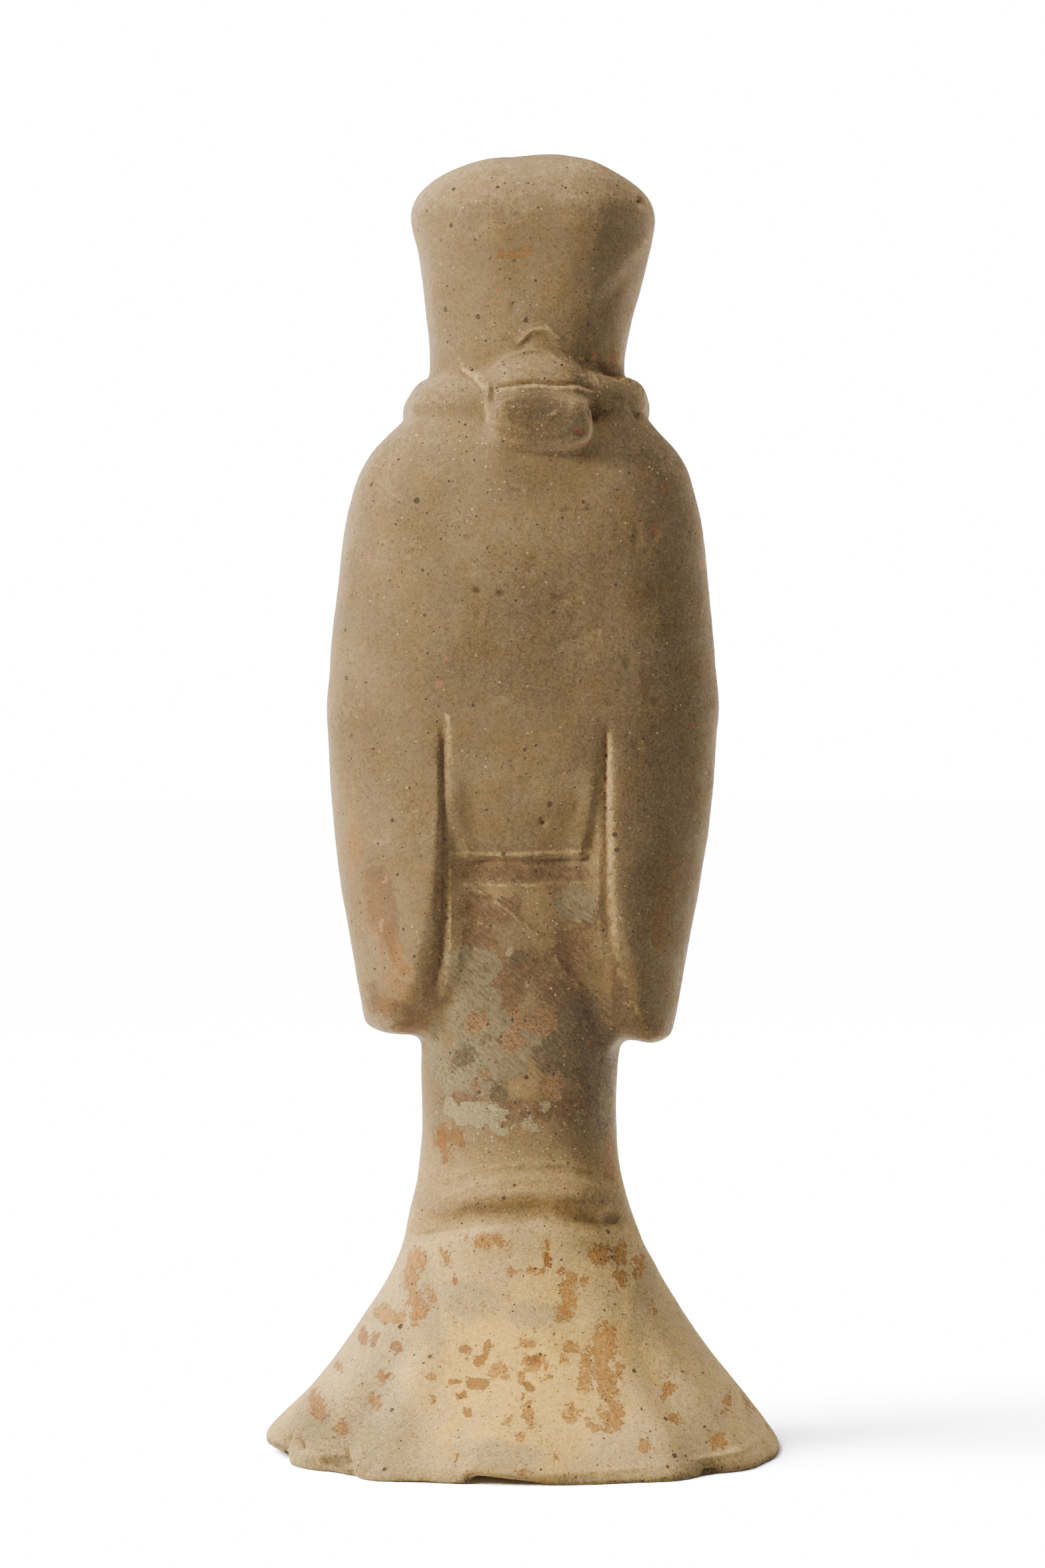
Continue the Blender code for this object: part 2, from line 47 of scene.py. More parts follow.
# The figure's upright axis in the frame. Lengths below are in millimetres from it: across (its left hand is
# the positive side), back and up.
AXIS = np.array((0.000175, -0.006044, 0.0))
MM = 0.001

# The photograph's view: level, from straight behind.
VIEW_DISTANCE = 1.6
VIEW_HEIGHT = 0.276
VIEW_SPAN = 0.6564  # height of the picture at the figure's axis
SENSOR = 36.0

# Fineness of the clay's surface.
CLAY_GRAIN = 1.0 * MM
JOIN_GAP = 0.01 * MM  # points nearer than this are one
ROUNDING_LEVELS = 2
WORKED_SMOOTH = 5  # rounds of smoothing, and how far each goes
WORKED_SMOOTH_STEP = 0.5
TRIANGLES = 192000
NARROW_HOLLOW = 8  # rounds of smoothing that a hollow is measured against
WIDE_HOLLOW = 60

BACK = 1
FRONT = -1
LEFT = 1
RIGHT = -1
SIDE_FADE = 0.35  # how far the surface faces a side where that side's relief is whole

LUMP_TABLE = 32  # random values along each side of a table that repeats
STROKE_TAPER = 0.15  # share of a line's length over which each end fades


def soft_step(low, high, value):
    t = np.clip((value - low) / (high - low), 0, 1)
    return t * t * (3 - 2 * t)


def bell(distance, half_width):
    return np.exp(-((distance / half_width) ** 2))


def lumps(points, size, seed):
    """Smooth random heights from -1 to 1 over points, in lumps of this size."""
    table = np.random.default_rng(seed).uniform(-1, 1, (LUMP_TABLE,) * 3)
    cell = np.floor(points / size).astype(int)
    part = points / size - cell
    part = part * part * (3 - 2 * part)
    total = np.zeros(len(points))
    for corner in np.ndindex(2, 2, 2):
        share = np.prod(np.where(corner, part, 1 - part), axis=1)
        i, j, k = ((cell + corner) % LUMP_TABLE).T
        total += share * table[i, j, k]
    return total


def facing(normals, side):
    """1 where the surface looks to the back (or the front), 0 where it looks the other way."""
    return soft_step(0.0, SIDE_FADE, side * normals[:, 1])


def along_line(points, line):
    """Distance of every point from a line drawn across and up, and how far along the line it is, 0 to 1."""
    flat = points[:, (0, 2)]
    line = np.array(line, float)
    lengths = np.linalg.norm(np.diff(line, axis=0), axis=1)
    nearest = np.full(len(flat), np.inf)
    share = np.zeros(len(flat))
    done = 0.0
    for start, end, length in zip(line, line[1:], lengths):
        way = (end - start) / length
        t = np.clip((flat - start) @ way, 0, length)
        gap = np.linalg.norm(flat - start - t[:, None] * way, axis=1)
        closer = gap < nearest
        nearest = np.where(closer, gap, nearest)
        share = np.where(closer, (done + t) / lengths.sum(), share)
        done += length
    return nearest, share


def stroke(points, line, half_width, height, taper=STROKE_TAPER):
    """A ridge (or, with a negative height, a groove) along a line, fading at both its ends."""
    gap, share = along_line(points, line)
    return height * bell(gap, half_width) * soft_step(0, taper, share) * soft_step(0, taper, 1 - share)


def oval(points, across, up, half_across, half_up, lean=0):
    """How far each point is from the middle of a leaning oval, where its edge is at 1."""
    turn = math.radians(lean)
    right, over = points[:, 0] - across, points[:, 2] - up
    along = (right * math.cos(turn) + over * math.sin(turn)) / half_across
    upwards = (over * math.cos(turn) - right * math.sin(turn)) / half_up
    return np.hypot(along, upwards)


# Lines worked into the clay of the back: points across and up, half width, height.
BACK_LINES = (
    # the grooves between the body and the sleeves
    (((32.6, 303), (32.6, 283), (32.2, 250), (32.4, 228), (33.6, 207), (37, 188)), 1.3, -1.4),
    (((-34.4, 303), (-34.0, 283), (-33.4, 250), (-33.8, 222), (-36, 205)), 1.1, -1.6),
    # the robe's back, fuller towards the sleeves
    (((29.5, 287), (26.5, 262), (23, 246), (22.6, 236), (24, 218), (26.3, 200), (29, 186)), 4.4, 1.9),
    (
        ((-29.5, 287), (-26.5, 262), (-22.6, 246), (-22.4, 236), (-24, 218), (-26.3, 200), (-29, 186)),
        4.4,
        2.1,
    ),
    # the jacket's lower edge, and folds of the cloth under it
    (((29.4, 247.4), (5, 246.8), (-31, 248.4)), 1.2, 0.8),
    (((28.4, 244.6), (5, 244.0), (-30, 245.6)), 1.1, -0.8),
    (((28.5, 234.8), (4, 234.4), (-30, 235.6)), 1.6, 0.4),
    (((22, 234.4), (12, 228.5), (-0.7, 218.5), (-9.5, 210.5)), 1.5, 0.7),
    (((-12.6, 205.4), (-18.9, 196.6), (-26.2, 190.5)), 1.2, 0.7),
    (((-8, 217.5), (-20, 217), (-29, 218.5)), 1.0, 0.4),
    (((30, 226), (18, 219), (12, 208)), 2.0, 0.3),
    # the calf
    (((38, 110), (22, 117.4), (4, 120.4), (-16, 120.6), (-38, 114)), 1.0, 0.5),
    (((38, 104.6), (22, 111.4), (4, 114.6), (-16, 115), (-40, 108)), 1.0, 0.4),
    (((47, 89), (34, 92.6), (20.7, 95), (5.7, 96.9), (-8, 98)), 1.4, -0.6),
    # the tied hair, its strap and the head's lower edge
    (((3.2, 455.3), (-2.8, 461), (-5.9, 462.2), (-10.4, 462.2), (-16, 457)), 1.3, 0.6),
    (((3.2, 452.4), (-2.8, 457.6), (-8, 459), (-14, 456)), 1.6, -0.5),
    (((13.8, 443), (7.7, 449.6), (-2.7, 453.4), (-10.3, 452.4), (-15.7, 448), (-23, 444)), 1.0, 0.7),
    (((12.8, 434.6), (9.2, 438.2), (-5, 439.8), (-14, 438.8), (-23, 439.4), (-32, 436.6)), 0.9, -1.1),
    (((12.4, 432.4), (9, 435.8), (-5, 437.3), (-14, 436.4), (-23, 436.8), (-31, 433.8)), 1.0, 0.7),
    (((13.8, 441), (14.8, 432), (14.4, 422)), 0.8, 1.0),
    (((12.0, 440), (12.4, 431), (12.0, 423)), 0.8, -0.9),
    (((-9.6, 424), (-14.9, 427.2)), 0.8, 0.7),
    (((12.2, 421), (4, 417.6), (-8, 415.8), (-17, 416.8), (-24, 420.6)), 1.1, -0.7),
    (((26.6, 450), (20, 445.4), (13.8, 441)), 1.3, 0.6),
    (((27, 447.6), (20.6, 442.4), (15.6, 437)), 1.4, -0.9),
    (((-23, 444), (-28, 440.4), (-34, 437.5)), 1.2, 0.9),
    (((-29, 452), (-34, 446), (-42, 443)), 1.5, -1.2),
    # where the rolled collar lies on the back
    (((55, 424.5), (44, 427.4), (30, 428.4), (17.5, 427.2)), 1.8, -0.4),
    (((-33.5, 435.6), (-43, 433), (-48.4, 425)), 1.0, -1.0),
    # the break in the hair's right side, and the lips of the hem
    (((-53.5, 507), (-39.7, 487.2), (-27.4, 476), (-26, 462)), 2.6, 0.5),
    (((-54, 500), (-45, 485), (-34, 473), (-32, 460)), 3.8, -0.6),
    (((97, 1), (96.4, 6), (94.6, 12)), 1.3, -1.6),
    (((67.5, 0), (68.6, 5), (71.4, 11)), 1.4, -1.6),
    (((-58, 6.4), (-36, 5.2), (-10, 4.6), (20, 5.0), (46, 6)), 0.9, 0.5),
    (((-104, 10), (-88, 7.4), (-66, 6.6)), 0.9, 0.6),
)

# Edges beside the robe's back: points across and up, the side that stands out, how far in it fades, height.
BACK_LEDGES = (
    (((30.8, 246), (30.4, 228), (31.0, 207), (33.5, 190)), LEFT, 7.0, 0.8),
    (((31.6, 303), (31.4, 283), (30.9, 249)), LEFT, 6.0, 0.6),
    (((-31.6, 246), (-31.8, 222), (-33.6, 205)), RIGHT, 6.0, 0.5),
)

# Lumps and hollows that shape the outline too: middle across and up, half sizes, height.
OUTLINE_SPOTS = (
    ((44.0, 513.0), (8.0, 11.0), 1.8),
    ((5.0, 538.0), (14.0, 6.0), -1.5),
    ((-27.0, 531.0), (10.0, 6.0), 1.0),
    ((-50.0, 434.0), (8.0, 9.0), 1.5),
    ((45.0, 440.5), (7.0, 5.0), -1.5),
)

# Lumps and pits of the back: middle across and up, half sizes, height.
BACK_SPOTS = (
    ((18.4, 354.7), (1.5, 1.2), -1.2),
    ((8.8, 353.7), (1.5, 1.2), -1.2),
    ((-8.4, 260.2), (1.2, 1.2), -1.6),
    ((-54.3, 380.3), (1.8, 3.4), -0.7),
    ((-48.6, 516.6), (1.3, 1.5), -2.2),
    ((-29.0, 428.4), (2.8, 3.8), -3.4),
    ((-23.4, 419.0), (2.2, 1.5), -1.2),
    ((-39.8, 425.6), (3.2, 4.2), 1.2),
    ((-39.8, 425.6), (1.4, 2.2), -1.0),
    ((-44.0, 478.0), (9.0, 14.0), -1.4),
    ((-3.5, 527.0), (3.0, 2.2), -0.5),
    ((14.0, 500.0), (14.0, 9.0), 0.6),
    ((-63.4, 408.6), (2.6, 2.2), -0.7),
    ((-22.0, 404.0), (15.0, 10.0), -0.6),
    ((12.0, 360.0), (18.0, 26.0), 0.5),
    ((-16.0, 318.0), (14.0, 20.0), -0.5),
    ((-36.5, 97.0), (4.4, 3.2), -1.4),
    ((89.5, 8.5), (1.6, 1.8), -2.4),
    ((-75.5, 1.5), (4.2, 2.2), -2.6),
    ((-106.0, 6.5), (1.6, 2.2), -1.8),
    ((-22.5, 60.0), (5.0, 2.4), -0.5),
)

# The face's middle leans a little: where it is across at a height, and how far it moves for each step up.
FACE_HEIGHT = 480.0
FACE_MIDDLE = -3.7
FACE_LEAN = -0.053

# Lines of the face on one side, the same on the other: points from its middle and up, half width, height.
FACE_LINES = (
    (((6.6, 486.2), (9.2, 487.6), (12.6, 488.0), (16, 487.2), (18.6, 485.9)), 0.75, -1.0),
    (((6.2, 487.4), (9.2, 489.6), (12.8, 490.4), (16.6, 489.5), (19.4, 487.4)), 0.9, 0.55),
    (((7.0, 491.2), (12.6, 493.4), (18.2, 491.3)), 0.8, -0.6),
    (((4.4, 494.2), (8.4, 498.2), (14, 499.4), (19.6, 497.2)), 1.5, 0.6),
    (((5.9, 475.0), (6.9, 472.6), (5.6, 470.4)), 0.8, -0.7),
    (((0, 463.0), (2.4, 462.6), (5, 463.0), (8.4, 463.9)), 0.7, -1.0),
    (((1.3, 469.4), (1.5, 466.8)), 0.7, 0.35),
    (((7.4, 470), (10.4, 466.4), (11.8, 461)), 2.0, -0.35),
)
FACE_SPOTS = (
    ((4.7, 473.0), (2.0, 2.0), 0.8),
    ((2.4, 469.9), (1.1, 0.8), -1.0),
    ((8.6, 463.6), (1.4, 1.4), -0.6),
    ((2.2, 465.0), (2.2, 1.1), 0.35),
)
# Worn paint of the brows and lashes, and of the lips: points from the face's middle and up, half width,
# strength.
FACE_DARK = (
    (((4.6, 495.2), (9, 498.4), (14, 499.2), (19.4, 496.6)), 0.9, 0.75),
    (((6.6, 487.4), (9.4, 489.0), (12.8, 489.6), (16.4, 488.8), (18.8, 486.6)), 0.6, 0.85),
)
FACE_RED = ((((-1, 462.8), (2.4, 463.4), (4.6, 463.2), (8.2, 463.6)), 1.2, 0.8),)
FACE_BAND = (446.0, 452.0, 503.0, 509.0)  # heights where the face's relief begins, is whole, fades and ends
FACE_HALF_WIDTH = 26.0
FACE_SIDE_FADE = 3.0
FACE_EVENNESS = 0.75  # share of the clay's dents and pits that the face is spared

# Worked lines on the front: the edges of the cuffs and the folds beside them.
FRONT_LINES = (
    (((30, 246.8), (0, 246.2), (-31, 247.2)), 0.9, 0.7),
    (((30, 250.8), (0, 250.2), (-31, 251.2)), 2.0, -0.6),
    (((30, 120), (8, 124), (-14, 124), (-32, 119)), 1.2, 0.5),
    (((34, 110), (8, 115), (-14, 115), (-36, 109)), 1.3, 0.4),
)


# Dents that fingers leave: size, height, seed.
FINGER_DENTS = ((26, 0.55, 1), (11, 0.26, 2), (5, 0.1, 3))

# Shallow losses, and the wider patches that they keep to: size and seed, and the random heights where they
# start and are whole.
PITS = (3.6, 4)
PIT_EDGE = (0.42, 0.72)
PIT_PATCHES = (22, 5)
PIT_PATCH_EDGE = (-0.1, 0.5)
PIT_DEPTH = 0.34

LEDGE_END = 4.0  # how far past its ends a ledge fades out
LEDGE_STEP = 0.7  # half the width of its step


def hand_pressed(points):
    """The uneven surface that fingers leave, finer and finer."""
    return sum(height * lumps(points, size, seed) for size, height, seed in FINGER_DENTS)


def worn_pits(points):
    """Shallow losses, in patches."""
    pits = soft_step(*PIT_EDGE, lumps(points, *PITS))
    patches = soft_step(*PIT_PATCH_EDGE, lumps(points, *PIT_PATCHES))
    return -PIT_DEPTH * pits * patches


def worked(points, lines, spots):
    height = np.zeros(len(points))
    for line, half_width, rise in lines:
        height += stroke(points, line, half_width, rise)
    for (across, up), (half_across, half_up), rise in spots:
        height += rise * bell(oval(points, across, up, half_across, half_up), 1)
    return height


def ledge(points, line, side, reach, rise):
    """An edge that steps up sharply on one side of a line and fades further in."""
    across, up = np.array(line[::-1], float).T
    height = points[:, 2]
    inside = -side * (points[:, 0] - np.interp(height, up, across))
    ended = soft_step(up[-1], up[-1] + LEDGE_END, height)
    along = soft_step(up[0] - LEDGE_END, up[0], height) * (1 - ended)
    step = soft_step(-LEDGE_STEP, LEDGE_STEP, inside)
    return rise * along * step * bell(np.maximum(inside - LEDGE_STEP, 0), reach)


def from_face_middle(points):
    """The same points, measured across from the face's own middle, and taken to one side of it."""
    moved = points.copy()
    moved[:, 0] = np.abs(moved[:, 0] - FACE_MIDDLE - FACE_LEAN * (moved[:, 2] - FACE_HEIGHT))
    return moved


def on_face(points, normals):
    """1 on the face, 0 away from it."""
    start, whole, fading, end = FACE_BAND
    height = points[:, 2]
    across = from_face_middle(points)[:, 0]
    band = soft_step(start, whole, height) * (1 - soft_step(fading, end, height))
    beside = soft_step(FACE_HALF_WIDTH - FACE_SIDE_FADE, FACE_HALF_WIDTH, across)
    return band * facing(normals, FRONT) * (1 - beside)


def relief(points, normals):
    """How far each point of the clay stands out from the smooth form, in millimetres."""
    face = on_face(points, normals)
    height = (hand_pressed(points) + worn_pits(points)) * (1 - FACE_EVENNESS * face)
    height += worked(points, (), OUTLINE_SPOTS)
    back = worked(points, BACK_LINES, BACK_SPOTS)
    for row in BACK_LEDGES:
        back += ledge(points, *row)
    height += facing(normals, BACK) * back
    height += facing(normals, FRONT) * worked(points, FRONT_LINES, ())
    height += face * worked(from_face_middle(points), FACE_LINES, FACE_SPOTS)
    return height


def mesh_points(mesh):
    points = np.empty(len(mesh.vertices) * 3)
    mesh.vertices.foreach_get("co", points)
    return (points.reshape(-1, 3) - AXIS) / MM


def mesh_normals(mesh):
    normals = np.empty(len(mesh.vertices) * 3)
    mesh.vertex_normals.foreach_get("vector", normals)
    return normals.reshape(-1, 3)


def add_modifier(obj, name, kind, **settings):
    modifier = obj.modifiers.new(name, kind)
    for key, value in settings.items():
        setattr(modifier, key, value)
    return modifier


def apply_modifiers(obj):
    graph = bpy.context.evaluated_depsgraph_get()
    mesh = bpy.data.meshes.new_from_object(obj.evaluated_get(graph))
    old = obj.data
    obj.modifiers.clear()
    obj.data = mesh
    bpy.data.meshes.remove(old)


def one_skin(source, name):
    """A copy of a mesh with the points of neighbouring faces joined."""
    work = bmesh.new()
    work.from_mesh(source)
    bmesh.ops.remove_doubles(work, verts=work.verts, dist=JOIN_GAP)
    mesh = bpy.data.meshes.new(name)
    work.to_mesh(mesh)
    work.free()
    return mesh


def new_object(name, data):
    obj = bpy.data.objects.new(name, data)
    bpy.context.scene.collection.objects.link(obj)
    return obj


def clay_figure():
    """The solid's form with its facets worked smooth and its fine relief."""
    figure = new_object("clay_figure", one_skin(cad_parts[NODE].data, "clay_figure"))
    add_modifier(figure, "rounded", "SUBSURF", levels=ROUNDING_LEVELS, render_levels=ROUNDING_LEVELS)
    add_modifier(figure, "fine_skin", "REMESH", mode="VOXEL", voxel_size=CLAY_GRAIN)
    add_modifier(figure, "worked_smooth", "SMOOTH", factor=WORKED_SMOOTH_STEP, iterations=WORKED_SMOOTH)
    apply_modifiers(figure)

    points, normals = mesh_points(figure.data), mesh_normals(figure.data)
    shaped = points + normals * relief(points, normals)[:, None]
    shaped[:, 2] = np.maximum(shaped[:, 2], 0)
    figure.data.vertices.foreach_set("co", (shaped * MM + AXIS).ravel())
    figure.data.update()
    figure.data.calc_loop_triangles()

    wanted = TRIANGLES
    ratio = min(1, wanted / len(figure.data.loop_triangles))
    add_modifier(figure, "kept_facets", "DECIMATE", ratio=ratio)
    apply_modifiers(figure)
    figure.data.shade_smooth()
    return figure


def hollows(mesh, rounds):
    """How deep each point lies below the surface around it, in millimetres; above it is negative."""
    points, normals = mesh_points(mesh), mesh_normals(mesh)
    edges = np.empty(len(mesh.edges) * 2, int)
    mesh.edges.foreach_get("vertices", edges)
    a, b = edges.reshape(-1, 2).T
    size = len(points)
    count = (np.bincount(a, minlength=size) + np.bincount(b, minlength=size))[:, None]
    around = points
    for _ in range(rounds):
        sums = [np.bincount(a, axis[b], size) + np.bincount(b, axis[a], size) for axis in around.T]
        around = (around + np.stack(sums, axis=1) / count) / 2
    return ((around - points) * normals).sum(axis=1)


# Where paint, slip, earth and stains lie on the back: middle across and up, half sizes, lean in degrees.
BROWN_WASH = (
    (0, 240, 18, 5),
    (18, 240, 10, 3.6),
    (-20, 239, 9, 3.4),
    (12, 225, 14, 8),
    (18, 213, 8, 7),
    (-20, 205, 10, 10),
    (-26, 222, 6, 9),
    (2, 200, 11, 8),
    (-16, 190, 10, 8),
    (6, 190, 7, 7),
    (3, 142, 22, 5),
    (-20, 144, 12, 6),
    (26, 146, 9, 4),
    (-30, 176, 4, 14),
)
BUFF = (
    (-7, 226, 7, 9),
    (-9, 213, 5, 6),
    (1, 154.6, 8.5, 7),
    (-26, 152, 4, 6),
    (32, 160, 4, 6),
    (9, 232, 6, 3),
)
GREEN = (
    (21, 199, 11, 10),
    (17, 187, 9, 8),
    (24, 180, 8, 9),
    (14, 170, 13, 13),
    (30, 157, 7, 8),
    (17, 156, 8, 7),
    (5, 163, 9, 6),
    (-4, 172, 8, 6),
    (-22, 226, 9, 7),
    (36, 168, 3, 10),
)
DARK_PIGMENT_AT = (
    (-25, 182, 9, 7),
    (-28, 165, 11, 13, 20),
    (-14, 163, 9, 8, 30),
    (-20, 174, 12, 6, 30),
    (10, 149, 4, 5),
    (-30, 149, 6, 5),
    (2, 205, 3, 2),
    (24, 164, 7, 3, -35),
    (-33, 140, 3, 9),
)
SALMON_AT = (
    (18.9, 178, 5, 4.6),
    (2, 180, 4.4, 3.8),
    (-10, 179, 4.6, 6),
    (-3, 177, 5, 2.6),
    (4.2, 170.4, 5.6, 5.2),
    (15.3, 157, 2.2, 3),
    (19.4, 151.6, 2.6, 2.8),
    (11.6, 208.8, 1.5, 1.5),
    (-12.6, 152.6, 5, 7.4),
)
PALE_FLAKES = (
    (18.4, 140.6, 12, 5),
    (-2.5, 135.4, 5, 2.8),
    (6, 134, 6, 1.8),
    (5.2, 207, 1.5, 2.2),
    (-34, 146, 3, 10),
    (-24, 139, 3, 4),
    (-8.4, 144, 3, 3),
    (30, 143, 3, 4),
)
GREY = (
    (-24, 131, 9, 8),
    (54, 18, 12, 20, -18),
    (38, 60, 6, 20, -10),
    (-50, 68, 5, 20, 12),
    (-72, 14, 9, 12, 14),
    (20, 66, 14, 8),
    (-6, 62, 12, 6),
    (10, 12, 20, 5),
    (60, 100, 8, 6),
    (-60, 84, 5, 12),
    (86, 18, 9, 8),
)
RUST = (
    (43.5, 79.4, 4.5, 5),
    (45.8, 72.5, 3, 6),
    (31.6, 83.5, 2, 4, -15),
    (38, 67.5, 2.2, 4, -30),
    (43, 63.5, 5, 4.6),
    (56, 58, 5, 4),
    (50.3, 56.6, 2.2, 3.6),
    (44.6, 56.4, 1.5, 3),
    (16, 89.6, 8, 3),
    (-10.5, 84.4, 1.6, 5.6),
    (5.2, 77.6, 4.2, 2.2),
    (-6.2, 78, 4.6, 1.9),
    (-19, 69.8, 4, 8),
    (-25, 73, 1.9, 4.4, 20),
    (-17, 61.6, 4, 3),
    (-19, 49.7, 3.6, 2.6),
    (-33, 48.6, 5, 9),
    (-33.5, 37, 5, 7),
    (-40, 40.6, 1.8, 1.8),
    (-25, 40, 3, 9),
    (-19.4, 25.2, 4, 3.6),
    (-35.4, 23.3, 6, 5),
    (-28, 21.5, 3, 2.2),
    (9.3, 40.6, 5, 2.8),
    (-2.5, 50.6, 4, 3),
    (-4.4, 43.3, 5, 3.4),
    (-16.2, 44.3, 2.4, 1.3),
    (-9.8, 40.6, 3.6, 1.6),
    (0.6, 38.9, 2, 3),
    (36.6, 29.2, 2, 2),
    (36.2, 37.5, 2.6, 1.6),
    (-2.5, 25.2, 2.4, 5),
    (6.6, 22.4, 3, 1.2, -20),
    (1.1, 17.8, 2.2, 2),
    (-13.4, 11, 1.6, 1.6),
    (-0.7, 5.6, 3.2, 1.4),
    (-48, 13.3, 3, 2.8),
    (-58, 31.6, 1.8, 5, 14),
    (-62, 21.5, 2, 3, 14),
    (-31.7, 83.5, 4.5, 5),
    (-40, 82.6, 3.4, 5),
    (-40, 73.4, 3.6, 3),
    (-48, 77, 3, 4.6, 16),
    (-54, 60.7, 1.5, 2.4),
    (73, 17, 3, 3.4, 30),
    (60, 26.5, 2.6, 3.2),
    (56.6, 36, 2, 2.2),
    (76, 36, 1.8, 2, -30),
    (84, 22, 3, 6, -40),
    (-79, 12, 4, 3, 20),
    (-84, 24, 1.6, 4, 24),
    (-93, 20, 2, 2, 24),
    (33, 131, 3.4, 5.4),
    (27, 131, 4, 3),
    (22.5, 127.7, 2.2, 1.8),
    (31.6, 122.7, 3.4, 3),
    (-36, 124, 2, 5),
    (-36, 116, 2.4, 3),
    (52, 208, 3, 12, -14),
    (58, 184, 6, 4),
    (8, 491.6, 4.2, 1.0, 10),
    (2.5, 492.8, 4, 1.7, 14),
    (-2.4, 493, 2, 2.2),
    (-38, 450, 2.4, 5),
    (-35, 446, 4, 2.6),
    (-58, 398, 1.6, 3),
    (-17, 393.8, 3.4, 1.2),
)
DEEP_RUST = (
    (14.3, 49.8, 1.7, 1.7),
    (22.5, 47, 2.5, 2.2, 35),
    (16.6, 44.7, 3.2, 1.8, -30),
    (18.4, 35.6, 5, 2.2),
    (28, 36.5, 2.6, 1.6),
    (24.3, 31.5, 2.1, 1.5),
    (21.6, 26, 1.7, 1.5),
    (-2.5, 34.8, 2.8, 1.3, 25),
    (0.6, 31, 2, 1.6, -30),
    (-15.8, 77.2, 1.7, 1.7),
    (51, 47, 3.2, 1.9, 20),
    (60.8, 48, 1.6, 2.4),
    (66, 48, 2.2, 3, -20),
    (54, 36, 1.9, 1.7),
    (27.5, 73.4, 1.3, 1.4),
    (26.3, 11, 1.2, 2.1),
    (-10.5, 81.4, 1.7, 3.2),
    (-4.4, 44.6, 2.6, 1.8),
    (33.4, 130, 1.8, 4),
    (-96, 34, 2, 3, 24),
    (-87, 40, 1.5, 3, 24),
)
EARTH_AT = (
    (22, 377, 3.2, 1.5),
    (3, 396.6, 3, 1.2, 30),
    (-3.6, 367.5, 2.8, 1.3),
    (-17.5, 387.4, 2.4, 1.4),
    (-24, 388, 5, 0.9, -4),
    (-13, 265, 2.4, 1.2),
    (2.5, 383.8, 1.8, 1),
    (18.4, 354.7, 1.9, 1.4),
    (8.8, 353.7, 1.9, 1.4),
    (-29, 428, 3.2, 5),
    (-23.2, 419, 3, 1.8),
    (-36, 447, 6, 3.4),
    (-36.5, 97, 4.6, 3),
    (53, 172, 12, 4),
    (33, 268, 1.5, 34),
    (34, 222, 2.6, 24),
    (38, 192, 3.4, 12),
    (-34.2, 268, 1.3, 36),
    (-35.6, 222, 1.6, 22),
    (-39, 192, 2.6, 14),
    (58, 226, 7, 20, -10),
    (44, 178, 6, 5),
    (50, 181, 9, 6, 20),
    (62, 188, 3, 8),
    (-62, 176, 14, 3.4),
    (-75.5, 1, 4.5, 2.4),
    (74, 5.4, 8, 2.4, -6),
    (101, 5, 4, 2),
    (-76, 409, 3, 2.4),
    (-14, 352, 6, 1.3, 4),
    (-50, 318, 2.4, 9),
    (-52, 356, 2, 6),
)
# Thin upright runs of rust on the sleeves.
RUNS_AT = (
    (60, 222, 7, 26, -10),
    (50, 196, 8, 12),
    (70, 250, 4, 26),
    (-60, 226, 7, 24, 10),
    (46, 490, 5, 24),
)
# The creamiest part of the skirt's slip: middle across and up, half sizes.
CREAM_AT = (0, 42, 52, 44)
# Small flecks of faded red.
FLECKS = (
    (34.4, 369, 1.5, 0.9),
    (62.6, 326.4, 1.6, 1.3),
    (34.4, 316, 1.7, 1),
    (31, 326.9, 1, 1.3),
    (63, 368.8, 1, 1.5),
    (-45.2, 360.5, 1.1, 1.7),
    (-49.2, 357.2, 1.1, 1.9),
    (-60.2, 294.3, 1.4, 1.2),
    (-42.6, 260, 1.2, 1),
    (-74, 366, 1.1, 3),
    (-54.3, 380.3, 1.6, 3),
    (-71, 344, 1.2, 2),
    (-70, 300, 1, 1.8),
    (56, 236, 1.1, 2.4),
    (58, 218, 1.2, 3),
    (-61, 246, 1.2, 1.6),
    (-22.6, 419.4, 2, 1.3),
    (-30, 452, 1.4, 1.2),
)
